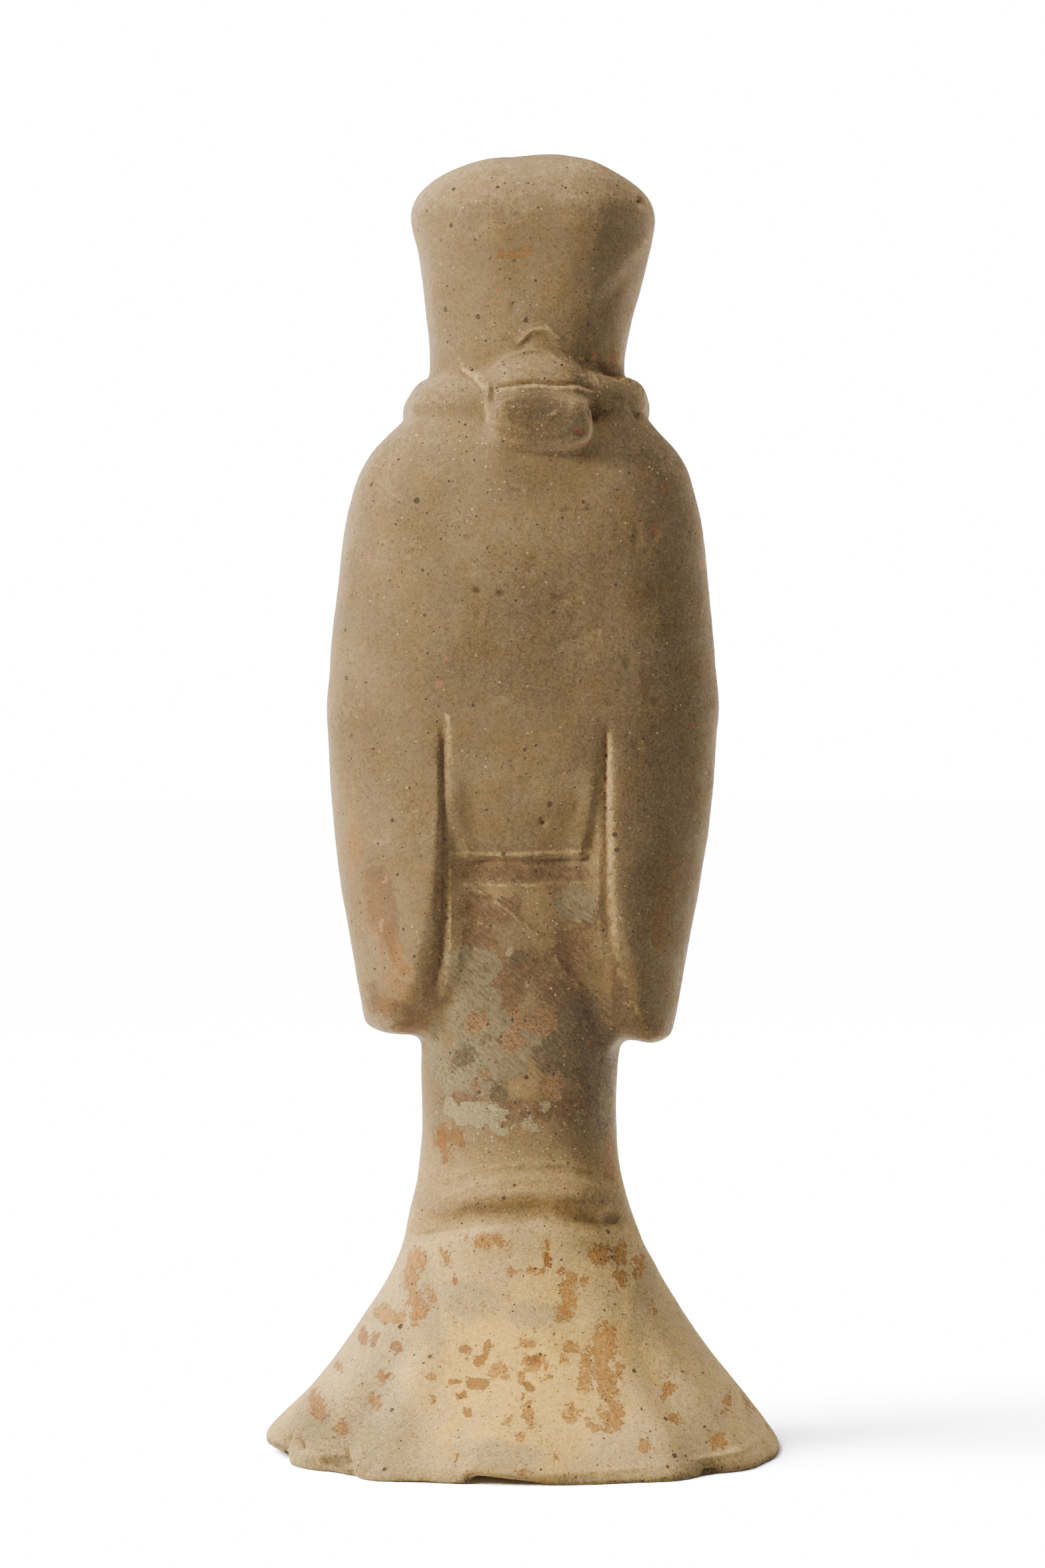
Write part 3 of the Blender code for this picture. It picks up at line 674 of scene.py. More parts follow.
# Pale edges, worn clay in part and painted highlights in part where an edge or a face catches the light,
# such as the jacket's lower edge and the right sleeve's inner face: points across and up, half width,
# strength.
PALE_EDGES_AND_HIGHLIGHTS = (
    (((29.6, 247.8), (5, 247.2), (-31, 248.8)), 1.1, 1.0),
    (((30.2, 245), (29.8, 228), (30.2, 207), (32, 190)), 1.0, 0.55),
    (((-31.2, 303), (-31.0, 249), (-31.2, 222), (-33, 207)), 0.8, 0.5),
    (
        ((-35.2, 300), (-35.8, 262), (-36.6, 235), (-38, 213), (-40.4, 199), (-44, 186), (-51, 178)),
        1.8,
        0.9,
    ),
    (((28.6, 234.8), (4, 234.4), (-30, 235.6)), 1.1, 0.6),
    (((22, 234.4), (12, 228.5), (-0.7, 218.5), (-9.5, 210.5)), 1.1, 0.6),
    (((-12.6, 205.4), (-18.9, 196.6), (-26.2, 190.5)), 0.8, 0.5),
    (((3.2, 455.3), (-2.8, 461), (-5.9, 462.2), (-10.4, 462.2), (-16, 457)), 0.9, 0.9),
    (((26.6, 448.4), (20, 443.4), (15.4, 437)), 1.2, 0.9),
    (((11.6, 434.6), (8.8, 437), (-5, 438.4), (-14, 437.6), (-23, 438), (-31, 435.4)), 0.8, 0.9),
    (((13.8, 440), (14.6, 431), (14.2, 423)), 0.8, 0.9),
    (((30.6, 306), (30.0, 296), (29.6, 283)), 1.4, 0.9),
    (((-24, 452), (-27, 446), (-31, 440)), 1.4, 0.9),
    (((34, 93.2), (20.7, 95.6), (5.7, 97.6), (-8, 98.6)), 1.0, 0.9),
    (((-9.6, 424.6), (-14.9, 427.8)), 0.9, 0.9),
)
# Painted shade and light mixed with darker and paler clouds of the clay (paler ones below 0): painted shade
# on the knot's lower pad and under it, down the figure's right side, in the calf's crease, along the hem's
# lower edge and in a fold of the skirt, and painted light on the head's right side and the left sleeve's
# foot: middle across and up, half sizes, strength.
PAINTED_SHADE_AND_CLOUDS = (
    (-4, 429, 15, 7.5, 1.5),
    (-7, 419, 15, 5, 0.4),
    (4, 342, 26, 30, 0.55),
    (-16, 326, 20, 40, 0.28),
    (-60, 310, 22, 120, 0.7),
    (-28, 503, 9, 10, -0.12),
    (-46, 470, 8, 26, -0.1),
    (-14, 398, 22, 8, 0.16),
    (16, 404, 14, 8, -0.1),
    (56, 216, 11, 30, -0.7),
    (60, 300, 14, 40, 0.12),
    (40, 452, 8, 14, 0.3),
    (76, 15, 24, 16, 0.8),
    (98, 8, 12, 10, 0.4),
    (40, 20, 8, 18, 0.2),
    (-4, 48, 26, 30, -0.12),
    (-6, 496, 26, 26, -0.36),
    (34, 500, 11, 22, 0.16),
    (-30, 20, 24, 14, -0.08),
    (-62, 52, 8, 26, 0.1),
    (-92, 12, 16, 9, 0.15),
    (0, 1, 130, 5, 0.35),
    (6, 102.5, 26, 4.6, 0.5),
    (32, 95, 14, 3.4, -27, 0.55),
    (-26, 101, 14, 4, 0.4),
    (60, 36, 5, 26, 24, 0.3),
    (-24, 131, 9, 9, 0.3),
    (-30, 110, 7, 12, 0.2),
    (0, 192, 34, 44, 0.2),
    (38, 520, 12, 12, -0.12),
)
GRIT_AT = (
    (2, 131, 36, 12),
    (0, 60, 60, 46),
    (-4, 459.6, 10, 3),
    (-20, 448, 6, 6),
    (24, 446, 5, 3, 35),
    (17, 437, 2.4, 6),
    (-30, 438, 6, 5),
    (-34, 430, 4, 6),
    (4, 413, 20, 3),
    (-56, 410, 8, 8),
    (36, 431, 10, 3),
    (-8, 216, 9, 9),
    (20, 414, 14, 8),
)

# How firmly the torn edge of a patch is drawn, from its middle to one and a half times its size.
PATCH_REACH = 1.5
PALE_EDGE_TAPER = 0.05  # share of a pale edge's length over which each end fades

# How random heights become patches in the same measure: their slope, and how far from 0 most of them lie.
SCATTER_SLOPE = 1.6
SCATTER_RANGE = 0.6

# What lies on the clay: its patches on the back, and for the random patches on the sides and front the zone
# that they keep to, their strength, size, seed and share of the zone.
LAID = {
    "brown": (BROWN_WASH, "robe", 1.0, 13, 11, 0.5),
    "buff": (BUFF, "robe", 1.0, 17, 12, 0.25),
    "green": (GREEN, "robe", 1.0, 16, 13, 0.4),
    "dark": (DARK_PIGMENT_AT, "robe", 1.0, 12, 14, 0.35),
    "salmon": (SALMON_AT, "robe", 1.0, 9, 15, 0.16),
    "flakes": (PALE_FLAKES, "robe_foot", 1.0, 9, 16, 0.5),
    "grey": (GREY, "skirt", 1.0, 24, 17, 0.35),
    "rust": (RUST, "mostly_skirt", 1.0, 9, 18, 0.12),
    "deep_rust": (DEEP_RUST, "skirt", 1.0, 5, 19, 0.1),
    "earth": (EARTH_AT, "everywhere", 0.7, 15, 20, 0.15),
    "grit": (GRIT_AT, "everywhere", 0.6, 12, 21, 0.25),
    "flecks": (FLECKS, "everywhere", 0.62, 4.5, 22, 0.02),
    "runs": (RUNS_AT, "everywhere", 0.6, 20, 23, 0.25),
}

# Heights between which the zones fade in or out, from below to above.
SKIRT_TOP = (84, 118)
ROBE_PAINT_FOOT = (130, 142)
ROBE_PAINT_TOP = (238, 246)
ROBE_FOOT_START = (124, 130)
ROBE_FOOT_END = (142, 150)
ROBE_MIDDLE = -1  # across
ROBE_SIDES = (34, 40)  # away from that middle
RUST_ABOVE_SKIRT = 0.2
BEHIND_FADE = (-0.1, 0.25)  # how far the surface looks to the back

# The pale calf: middle height, half height, strength.
CALF_AT = (112, 14, 0.8)


def covered(points, patches):
    """1 inside the patches, a half at their edge, 0 at one and a half times their size."""
    total = np.zeros(len(points))
    for row in patches:
        total = np.maximum(total, np.clip(PATCH_REACH - oval(points, *row), 0, 1))
    return total


# Soft darker and paler spots: the painted shade and light, and the clouds of the clay.
def clouds(points, patches):
    return sum(rise * bell(oval(points, *place), 1) for *place, rise in patches)


def edges(points, lines):
    total = np.zeros(len(points))
    for line, half_width, strength in lines:
        total = np.maximum(total, stroke(points, line, half_width, strength, PALE_EDGE_TAPER))
    return total


def scattered(points, size, seed, share):
    """Random patches of a size over a share of the surface, in the same measure as covered."""
    level = (1 - 2 * share) * SCATTER_RANGE
    return np.clip(0.5 + SCATTER_SLOPE * (lumps(points, size, seed) - level), 0, 1)


def laid_over(points, behind, place):
    """A wide soft patch on the back, and a half of it everywhere else."""
    return behind * bell(oval(points, *place), 1) + 0.5 * (1 - behind)


def wear(mesh):
    """The amount of each kind of paint, earth and wear at every point of the mesh."""
    points, normals = mesh_points(mesh), mesh_normals(mesh)
    height = points[:, 2]
    behind = soft_step(*BEHIND_FADE, normals[:, 1])
    face = on_face(points, normals)
    from_face = from_face_middle(points)
    skirt = 1 - soft_step(*SKIRT_TOP, height)
    painted = soft_step(*ROBE_PAINT_FOOT, height) * (1 - soft_step(*ROBE_PAINT_TOP, height))
    zones = {
        "everywhere": 1.0,
        "skirt": skirt,
        "mostly_skirt": np.maximum(skirt, RUST_ABOVE_SKIRT),
        "robe": painted * (1 - soft_step(*ROBE_SIDES, np.abs(points[:, 0] - ROBE_MIDDLE))),
        "robe_foot": soft_step(*ROBE_FOOT_START, height) * (1 - soft_step(*ROBE_FOOT_END, height)),
    }
    calf, calf_half, paleness = CALF_AT
    amounts = {
        "hollow": hollows(mesh, NARROW_HOLLOW),
        "wide_hollow": hollows(mesh, WIDE_HOLLOW),
        "slip": skirt,
        "cream": skirt * laid_over(points, behind, CREAM_AT),
        "calf": bell(height - calf, calf_half) * paleness,
        "face": face,
        "brows": face * edges(from_face, FACE_DARK),
        "lips": face * edges(from_face, FACE_RED),
        # pale edges: worn in part, painted highlights in part
        "pale_edge_and_highlight": behind * edges(points, PALE_EDGES_AND_HIGHLIGHTS),
        # painted shade and light on the back, with the clay's clouds
        "painted_shade_and_cloud": behind * clouds(points, PAINTED_SHADE_AND_CLOUDS),
    }
    for name, (patches, zone, strength, size, seed, share) in LAID.items():
        elsewhere = strength * zones[zone] * scattered(points, size, seed, share)
        amounts[name] = behind * covered(points, patches) + (1 - behind) * (1 - face) * elsewhere
    return amounts


def store(mesh, amounts):
    for name, values in amounts.items():
        attribute = mesh.attributes.new(name, "FLOAT", "POINT")
        attribute.data.foreach_set("value", values.astype(np.float32))


# A layer with torn edges: its noise (size in mm, detail, roughness), how far the noise tears the edge, the
# amounts where the layer starts and is whole (a half is the patch's own outline) and how much of the clay
# it hides at least. A noise may be drawn out along a lean or distorted, and an amount may be thinned.
Layer = namedtuple("Layer", "noise tear edge cover drawn_out distortion thinned", defaults=(None, 0.0, 1.0))
LAYERS = {
    "slip": Layer((12, 6, 0.6), 1.2, (0.25, 0.8), 1.0),
    "grey": Layer((15, 5, 0.6), 1.5, (0.1, 1.0), 0.8),
    "buff": Layer((5, 6, 0.66), 1.5, (0.42, 0.62), 0.8),
    "green": Layer((8, 7, 0.62), 1.5, (0.44, 0.54), 0.62),
    "dark": Layer((1.2, 4, 0.7), 2.6, (0.34, 0.56), 0.6, drawn_out=(8, 45)),
    "salmon": Layer((5, 7, 0.7), 1.7, (0.46, 0.54), 0.92),
    "flakes": Layer((4.5, 7, 0.72), 2.0, (0.46, 0.52), 0.85),
    "rust": Layer((4.2, 8, 0.8), 3.6, (0.47, 0.52), 0.8, distortion=0.3, thinned=0.86),
    "runs": Layer((3.2, 5, 0.7), 2.4, (0.75, 0.95), 0.5, drawn_out=(6, 6)),
    "deep_rust": Layer((3.0, 6, 0.75), 1.9, (0.42, 0.5), 0.85),
    "earth": Layer((3.5, 6, 0.68), 1.4, (0.3, 0.85), 0.7),
    "flecks": Layer((1.8, 4, 0.7), 1.8, (0.46, 0.6), 0.75),
}


class Shader:
    """A material's nodes, joined up by calls."""

    def __init__(self, name):
        self.material = bpy.data.materials.new(name)
        self.material.use_nodes = True
        self.tree = self.material.node_tree
        self.surface = self.tree.nodes["Principled BSDF"]
        self.place = self.node("ShaderNodeTexCoord").outputs["Object"]

    def node(self, kind, inputs=(), **settings):
        made = self.tree.nodes.new(kind)
        for key, value in settings.items():
            setattr(made, key, value)
        for key, value in dict(inputs).items():
            if isinstance(value, bpy.types.NodeSocket):
                self.tree.links.new(value, made.inputs[key])
            else:
                made.inputs[key].default_value = value
        return made

    def noise(self, size_mm, detail, roughness, place=None, distortion=0.0):
        inputs = {
            "Vector": place or self.place,
            "Scale": 1000 / size_mm,
            "Detail": detail,
            "Roughness": roughness,
            "Distortion": distortion,
        }
        return self.node("ShaderNodeTexNoise", inputs).outputs["Fac"]

    def drawn_out(self, length, lean):
        """The place, for a pattern drawn out to this many times its width, leaning over by an angle."""
        inputs = {"Vector": self.place, "Rotation": (0, math.radians(lean), 0), "Scale": (1, 1, length)}
        return self.node("ShaderNodeMapping", inputs, vector_type="TEXTURE").outputs["Vector"]

    def brushed(self, noise, drawn_out):
        """A noise drawn out like the strokes of a brush."""
        return self.noise(*noise, self.drawn_out(*drawn_out))

    def shaken(self, size_mm, reach_mm):
        """The place, moved about at random, so that round things come out uneven."""
        inputs = {"Vector": self.place, "Scale": 1000 / size_mm, "Detail": 2.0}
        random = self.node("ShaderNodeTexNoise", inputs).outputs["Color"]
        even = self.vector("SUBTRACT", {0: random, 1: (0.5, 0.5, 0.5)})
        return self.vector("ADD", {0: self.place, 1: self.scaled(even, 2 * reach_mm * MM)})

    def vector(self, operation, inputs):
        return self.node("ShaderNodeVectorMath", inputs, operation=operation).outputs[0]

    def scaled(self, tint, factor):
        return self.vector("SCALE", {0: tint, "Scale": factor})

    def amount(self, name):
        return self.node("ShaderNodeAttribute", attribute_name=name).outputs["Fac"]

    def maths(self, operation, a, b=0.0):
        return self.node("ShaderNodeMath", {0: a, 1: b}, operation=operation).outputs[0]

    def plus(self, a, b):
        return self.maths("ADD", a, b)

    def times(self, a, b):
        return self.maths("MULTIPLY", a, b)

    def between(self, value, low, high):
        """0 below low, 1 above high, soft in between."""
        inputs = {"Value": value, "From Min": low, "From Max": high}
        return self.node("ShaderNodeMapRange", inputs, interpolation_type="SMOOTHSTEP").outputs["Result"]

    def falling(self, value, low, high):
        """1 below low, 0 above high."""
        inputs = {"Value": value, "From Min": low, "From Max": high, "To Min": 1.0, "To Max": 0.0}
        return self.node("ShaderNodeMapRange", inputs, interpolation_type="SMOOTHSTEP").outputs["Result"]

    def tone(self, value, start, whole, strength):
        """Nothing at start, the full strength at whole, which may be the lower value of the two."""
        share = self.between(value, start, whole) if start < whole else self.falling(value, whole, start)
        return self.times(share, strength)

    def torn(self, amount, noise, spread):
        """An amount with the noise in it: a half is the torn edge of its patch."""
        return self.plus(amount, self.times(self.plus(noise, -0.5), spread))

    def torn_amount(self, name):
        """A layer's amount with its own noise in it."""
        row = LAYERS[name]
        place = self.drawn_out(*row.drawn_out) if row.drawn_out else self.place
        noise = self.noise(*row.noise, place, row.distortion)
        return self.torn(self.times(self.amount(name), row.thinned), noise, row.tear)

    def layer(self, name):
        """1 where a layer lies, 0 where it is gone."""
        return self.between(self.torn_amount(name), *LAYERS[name].edge)

    def cover(self, under, over, name, lies=None):
        """A colour with a layer over it; the layer may be at hand already."""
        return self.blend(under, over, self.times(lies or self.layer(name), LAYERS[name].cover))

    def blend(self, under, over, share):
        made = self.node("ShaderNodeMix", data_type="RGBA")
        for socket, value in (("Factor_Float", share), ("A_Color", under), ("B_Color", over)):
            target = next(s for s in made.inputs if s.identifier == socket)
            if isinstance(value, bpy.types.NodeSocket):
                self.tree.links.new(value, target)
            else:
                target.default_value = value
        return next(s for s in made.outputs if s.identifier == "Result_Color")

    def dots(self, spacing_mm, share, low_mm, high_mm, place):
        """Small dots, some larger than others, in this share of the cells."""
        inputs = {"Vector": place, "Scale": 1000 / spacing_mm}
        cells = self.node("ShaderNodeTexVoronoi", inputs)
        parts = self.node("ShaderNodeSeparateColor", {"Color": cells.outputs["Color"]})
        present = self.between(self.plus(parts.outputs[0], share), 1.0, 1 + DOT_PRESENT_EDGE)
        size = self.plus(self.times(parts.outputs[1], (high_mm - low_mm) / spacing_mm), low_mm / spacing_mm)
        ratio = self.maths("DIVIDE", cells.outputs["Distance"], size)
        return self.times(self.falling(ratio, DOT_EDGE, 1.0), present)

    def bump(self, height, distance_mm, strength):
        inputs = {"Height": height, "Distance": distance_mm * MM, "Strength": strength}
        return self.node("ShaderNodeBump", inputs).outputs["Normal"]


def colour(red, green, blue):
    return (red, green, blue, 1.0)


# Colours of the clay and of what lies on it, in linear light.
CLAY_PALE = colour(0.335, 0.228, 0.112)
CLAY_DARK = colour(0.235, 0.157, 0.078)
CLAY_WARM = colour(0.310, 0.192, 0.076)
CALF_CLAY = colour(0.570, 0.372, 0.150)
SLIP = colour(0.880, 0.595, 0.245)
SLIP_CREAM = colour(0.990, 0.610, 0.150)
SLIP_GREY = colour(0.540, 0.380, 0.178)
EARTH = colour(0.150, 0.086, 0.041)
BROWN = colour(0.140, 0.080, 0.040)
BUFF_CLAY = colour(0.370, 0.240, 0.105)
GREEN_PIGMENT = colour(0.285, 0.222, 0.124)
DARK_PIGMENT = colour(0.078, 0.058, 0.034)
SALMON = colour(0.420, 0.240, 0.110)
PALE_GREEN = colour(0.440, 0.340, 0.175)
RUST_PALE = colour(0.530, 0.250, 0.060)
RUST_RIM = colour(0.340, 0.135, 0.034)
RUN_RUST = colour(0.380, 0.195, 0.070)
RUST_ON_CLAY = colour(0.290, 0.145, 0.052)
LIP_RED = colour(0.300, 0.120, 0.060)
SPECK = colour(0.800, 0.560, 0.280)
ORANGE_SPECK = colour(0.480, 0.220, 0.070)
FLECK_RED = colour(0.520, 0.230, 0.120)
# Pale clay where edges are worn and paint is lost, and the colour of the painted highlights.
EDGE_CLAY_AND_HIGHLIGHT = colour(0.640, 0.430, 0.190)
# near black: painted shade inside the pores
PORE_SHADE = colour(0.035, 0.022, 0.014)

# Noise over the whole clay: size in mm, detail, roughness.
WIDE_NOISE = (48, 2, 0.4)
MIDDLE_NOISE = (13, 3, 0.5)
FINE_NOISE = (2.4, 5, 0.72)
GRAIN_NOISE = (1.0, 2, 0.9)
TONE_NOISE = (30, 4, 0.6)
STIPPLE_NOISE = (1.1, 4, 0.85)
SPECKLE_NOISE = (1.0, 5, 0.9)
CRACK_NOISE = (11, 4, 0.6)
MOTTLE_NOISE = (1.6, 5, 0.8)
STROKE_NOISE = (1.3, 3, 0.85)
STROKES_DRAWN_OUT = (4, 50)  # times its width, and the lean in degrees

# Tones that a noise or an amount brings in: where each starts, where it is whole, and its strength there.
PALE_CLOUDS = (0.25, 0.75, 1.0)
WARM_CLOUDS = (0.42, 0.7, 0.55)
CREAM_CLOUDS = (0.2, 0.9, 1.0)
GREY_CLOUDS = (0.55, 0.32, 0.5)
BROWN_STIPPLE = (0.58, 0.74, 0.92)
GREEN_UNWORN = (0.75, 0.5, 0.3)
GREEN_CRACKS = (0.012, 0.003, 0.6)
DARK_STIPPLE = (0.4, 0.6, 0.35)
OLD_DARK_SPECKS = (0.51, 0.6, 0.7)
OLD_PALE_SPECKS = (0.47, 0.4, 0.45)
SALMON_STIPPLE = (0.48, 0.6, 0.8)
MOTTLES = (0.46, 0.6, 1.0)
RUST_EDGE = (0.70, 0.54, 0.6)
NARROW_EARTH = (0.12, 0.6, 0.6)
WIDE_HOLLOW_DARKENING = (0.6, 3.0, 0.2)
FACE_PAINT = (0.35, 0.55, 0.7)
WORN_RIDGES = (-0.1, -0.34, 0.45)
WORN_PATCHES = (0.35, 0.6, 1.0)
# pale edges, worn clay in part and painted highlights in part
RUBBED_EDGES_AND_HIGHLIGHTS = (0.3, 0.9, 0.7)

# How far noise tears or changes a colour.
CREAM_TEAR = 1.2
RUBBED_AND_HIGHLIGHT_TEAR = 1.6
BROWN_LIFT = 0.3  # how much the brown wash thickens the stipple
OLD_SPECK_DEPTH = 0.85
STROKE_CONTRAST = 3.0
RUST_MOTTLE = 0.65  # how far the mottles take the rust to its rim's colour, and how much they thicken it
RUST_MOTTLE_COVER = 0.18
DEEP_RUST_MOTTLE = 0.4
RIDGE_PALENESS = 0.6
# how far the painted shade and the clay's clouds darken the colour
SHADE_AND_CLOUD_DEPTH = 0.55
TONE_CONTRAST = 0.65
FINE_CONTRAST = 0.85
GRAIN_CONTRAST = 1.5
DARKEST_TONE = 0.3

# Dots: spacing in mm, share of the places that have one, least and greatest size in mm. The share grows
# where there is grit.
GRIT_DOTS = (1.9, 0.06, 0.28, 0.62)
GRIT_GROWTH = 0.5
GRIT_COVER = 0.8
ORANGE_DOTS = (3.4, 0.05, 0.35, 0.9)
ORANGE_GROWTH = 0.35
ORANGE_COVER = 0.75
CRUMB_DOTS = (2.3, 0.3, 0.25, 0.7)
CRUMB_COVER = 0.45
PORE_DOTS = ((11, 0.6, 0.7, 1.4), (5.2, 0.6, 0.36, 0.78), (2.9, 0.6, 0.24, 0.5))
PORE_SHADE_COVER = 0.85
PORES_ON_FACE = 0.3
DOT_EDGE = 0.75  # where a dot's edge begins, as a share of its size
DOT_PRESENT_EDGE = 0.02  # how far past the share a place still has a fainter dot
DOTS_SHAKEN = (1.3, 0.35)  # how small and how far their outlines are moved about, in mm

# The surface's roughness, and heights in it as shares of BUMP_HEIGHT.
ROUGHNESS = 0.78
ROUGHNESS_CHANGE = 0.16
SHEEN = 0.22
BUMP_HEIGHT = 0.6  # mm
BUMP_STRENGTH = 0.8
FINE_RISE = 0.8
GRAIN_RISE = 0.4
PORE_RISE = -1.2
GRIT_RISE = 0.4
GREEN_RISE = 0.35
FLAKE_RISE = 0.7
DARK_RISE = -0.25
SALMON_RISE = -1.2
SALMON_STIPPLE_RISE = 1.8
RUST_RISE = -0.35
DEEP_RUST_RISE = -0.6


def bare_clay(s, wide, middle):
    """The fired clay with its broad warm and grey clouds, and the worn slip of the skirt."""
    clay = s.blend(CLAY_DARK, CLAY_PALE, s.tone(wide, *PALE_CLOUDS))
    clay = s.blend(clay, CLAY_WARM, s.tone(middle, *WARM_CLOUDS))
    clay = s.blend(clay, CALF_CLAY, s.amount("calf"))
    cream = s.torn(s.amount("cream"), middle, CREAM_TEAR)
    slip = s.blend(SLIP, SLIP_CREAM, s.tone(cream, *CREAM_CLOUDS))
    slip = s.cover(slip, SLIP_GREY, "grey")
    slip = s.blend(slip, SLIP_GREY, s.tone(wide, *GREY_CLOUDS))
    return s.cover(clay, slip, "slip")


def old_paint(s, clay, fine):
    """Remains of paint on the robe, one layer over the other, each with its torn edge."""
    stipple = s.noise(*STIPPLE_NOISE)
    brown = s.plus(s.times(s.amount("brown"), BROWN_LIFT), stipple)
    clay = s.blend(clay, BROWN, s.tone(brown, *BROWN_STIPPLE))
    clay = s.cover(clay, BUFF_CLAY, "buff")

    green = s.times(s.layer("green"), s.plus(s.tone(fine, *GREEN_UNWORN), LAYERS["green"].cover))
    clay = s.blend(clay, GREEN_PIGMENT, green)
    from_crack = s.maths("ABSOLUTE", s.plus(s.noise(*CRACK_NOISE), -0.5))
    clay = s.blend(clay, EARTH, s.times(s.tone(from_crack, *GREEN_CRACKS), green))

    dark = s.times(s.layer("dark"), s.plus(s.tone(stipple, *DARK_STIPPLE), LAYERS["dark"].cover))
    clay = s.blend(clay, DARK_PIGMENT, dark)

    old = s.amount("brown")
    for name in ("dark", "green"):
        old = s.maths("MAXIMUM", old, s.amount(name))
    speckled = s.noise(*SPECKLE_NOISE)
    darker = s.blend(clay, EARTH, OLD_SPECK_DEPTH)
    clay = s.blend(clay, darker, s.times(s.tone(speckled, *OLD_DARK_SPECKS), old))
    clay = s.blend(clay, EDGE_CLAY_AND_HIGHLIGHT, s.times(s.tone(speckled, *OLD_PALE_SPECKS), old))

    salmon = s.layer("salmon")
    clay = s.cover(clay, s.blend(SALMON, BROWN, s.tone(stipple, *SALMON_STIPPLE)), "salmon", salmon)
    flakes = s.layer("flakes")
    clay = s.cover(clay, PALE_GREEN, "flakes", flakes)
    strokes = s.plus(s.brushed(STROKE_NOISE, STROKES_DRAWN_OUT), -0.5)
    clay = s.scaled(clay, s.plus(s.times(strokes, s.times(old, STROKE_CONTRAST)), 1.0))

    rise = s.times(salmon, s.plus(s.times(stipple, SALMON_STIPPLE_RISE), SALMON_RISE))
    for lies, height in ((green, GREEN_RISE), (flakes, FLAKE_RISE), (dark, DARK_RISE)):
        rise = s.plus(rise, s.times(lies, height))
    return clay, rise


def rust_and_earth(s, clay, fine, hollow):
    """Flakes of rust with a darker rim, earth in the narrow hollows and in patches, and the wide hollows
    made darker.
    """
    rust = s.torn_amount("rust")
    lies = s.between(rust, *LAYERS["rust"].edge)
    mottled = s.tone(s.noise(*MOTTLE_NOISE), *MOTTLES)
    tint = s.blend(RUST_PALE, RUST_RIM, s.times(mottled, RUST_MOTTLE))
    tint = s.blend(RUST_ON_CLAY, tint, s.amount("slip"))
    thick = s.plus(s.times(mottled, RUST_MOTTLE_COVER), LAYERS["rust"].cover)
    clay = s.blend(clay, tint, s.times(lies, thick))
    clay = s.blend(clay, RUST_RIM, s.times(lies, s.tone(rust, *RUST_EDGE)))
    clay = s.cover(clay, RUN_RUST, "runs")
    deep = s.layer("deep_rust")
    clay = s.cover(clay, s.blend(RUST_RIM, EARTH, s.times(mottled, DEEP_RUST_MOTTLE)), "deep_rust", deep)

    clay = s.cover(clay, EARTH, "earth")
    clay = s.blend(clay, EARTH, s.tone(hollow, *NARROW_EARTH))
    # darker in the wide hollows
    clay = s.blend(clay, EARTH, s.tone(s.amount("wide_hollow"), *WIDE_HOLLOW_DARKENING))
    for name, paint in (("brows", DARK_PIGMENT), ("lips", LIP_RED)):
        clay = s.blend(clay, paint, s.times(s.amount(name), s.tone(fine, *FACE_PAINT)))
    clay = s.cover(clay, FLECK_RED, "flecks")
    return clay, s.plus(s.times(lies, RUST_RISE), s.times(deep, DEEP_RUST_RISE))


def worn_and_toned(s, clay, fine, grain, hollow):
    """Ridges worn pale, pale edges that are worn in part and painted highlights in part, and the uneven
    tone of all that lies on the clay, with painted shade and light in it.
    """
    ridges = s.times(s.tone(hollow, *WORN_RIDGES), s.tone(fine, *WORN_PATCHES))
    clay = s.blend(clay, s.blend(clay, SPECK, RIDGE_PALENESS), ridges)
    # pale edges, worn in part and painted highlights in part
    rubbed_and_lit = s.torn(s.amount("pale_edge_and_highlight"), fine, RUBBED_AND_HIGHLIGHT_TEAR)
    clay = s.blend(clay, EDGE_CLAY_AND_HIGHLIGHT, s.tone(rubbed_and_lit, *RUBBED_EDGES_AND_HIGHLIGHTS))
    # painted shade darkens and painted light brightens the colour here, together with the clay's clouds
    tone = s.plus(s.times(s.amount("painted_shade_and_cloud"), -SHADE_AND_CLOUD_DEPTH), 1.0)
    noises = ((s.noise(*TONE_NOISE), TONE_CONTRAST), (fine, FINE_CONTRAST), (grain, GRAIN_CONTRAST))
    for noise, contrast in noises:
        tone = s.plus(tone, s.times(s.plus(noise, -0.5), contrast))
    return s.scaled(clay, s.maths("MAXIMUM", tone, DARKEST_TONE))


def gritty_dots(s, dots, growth, place):
    """Dots that are more frequent where there is grit."""
    spacing, share, low, high = dots
    return s.dots(spacing, s.plus(s.times(s.amount("grit"), growth), share), low, high, place)


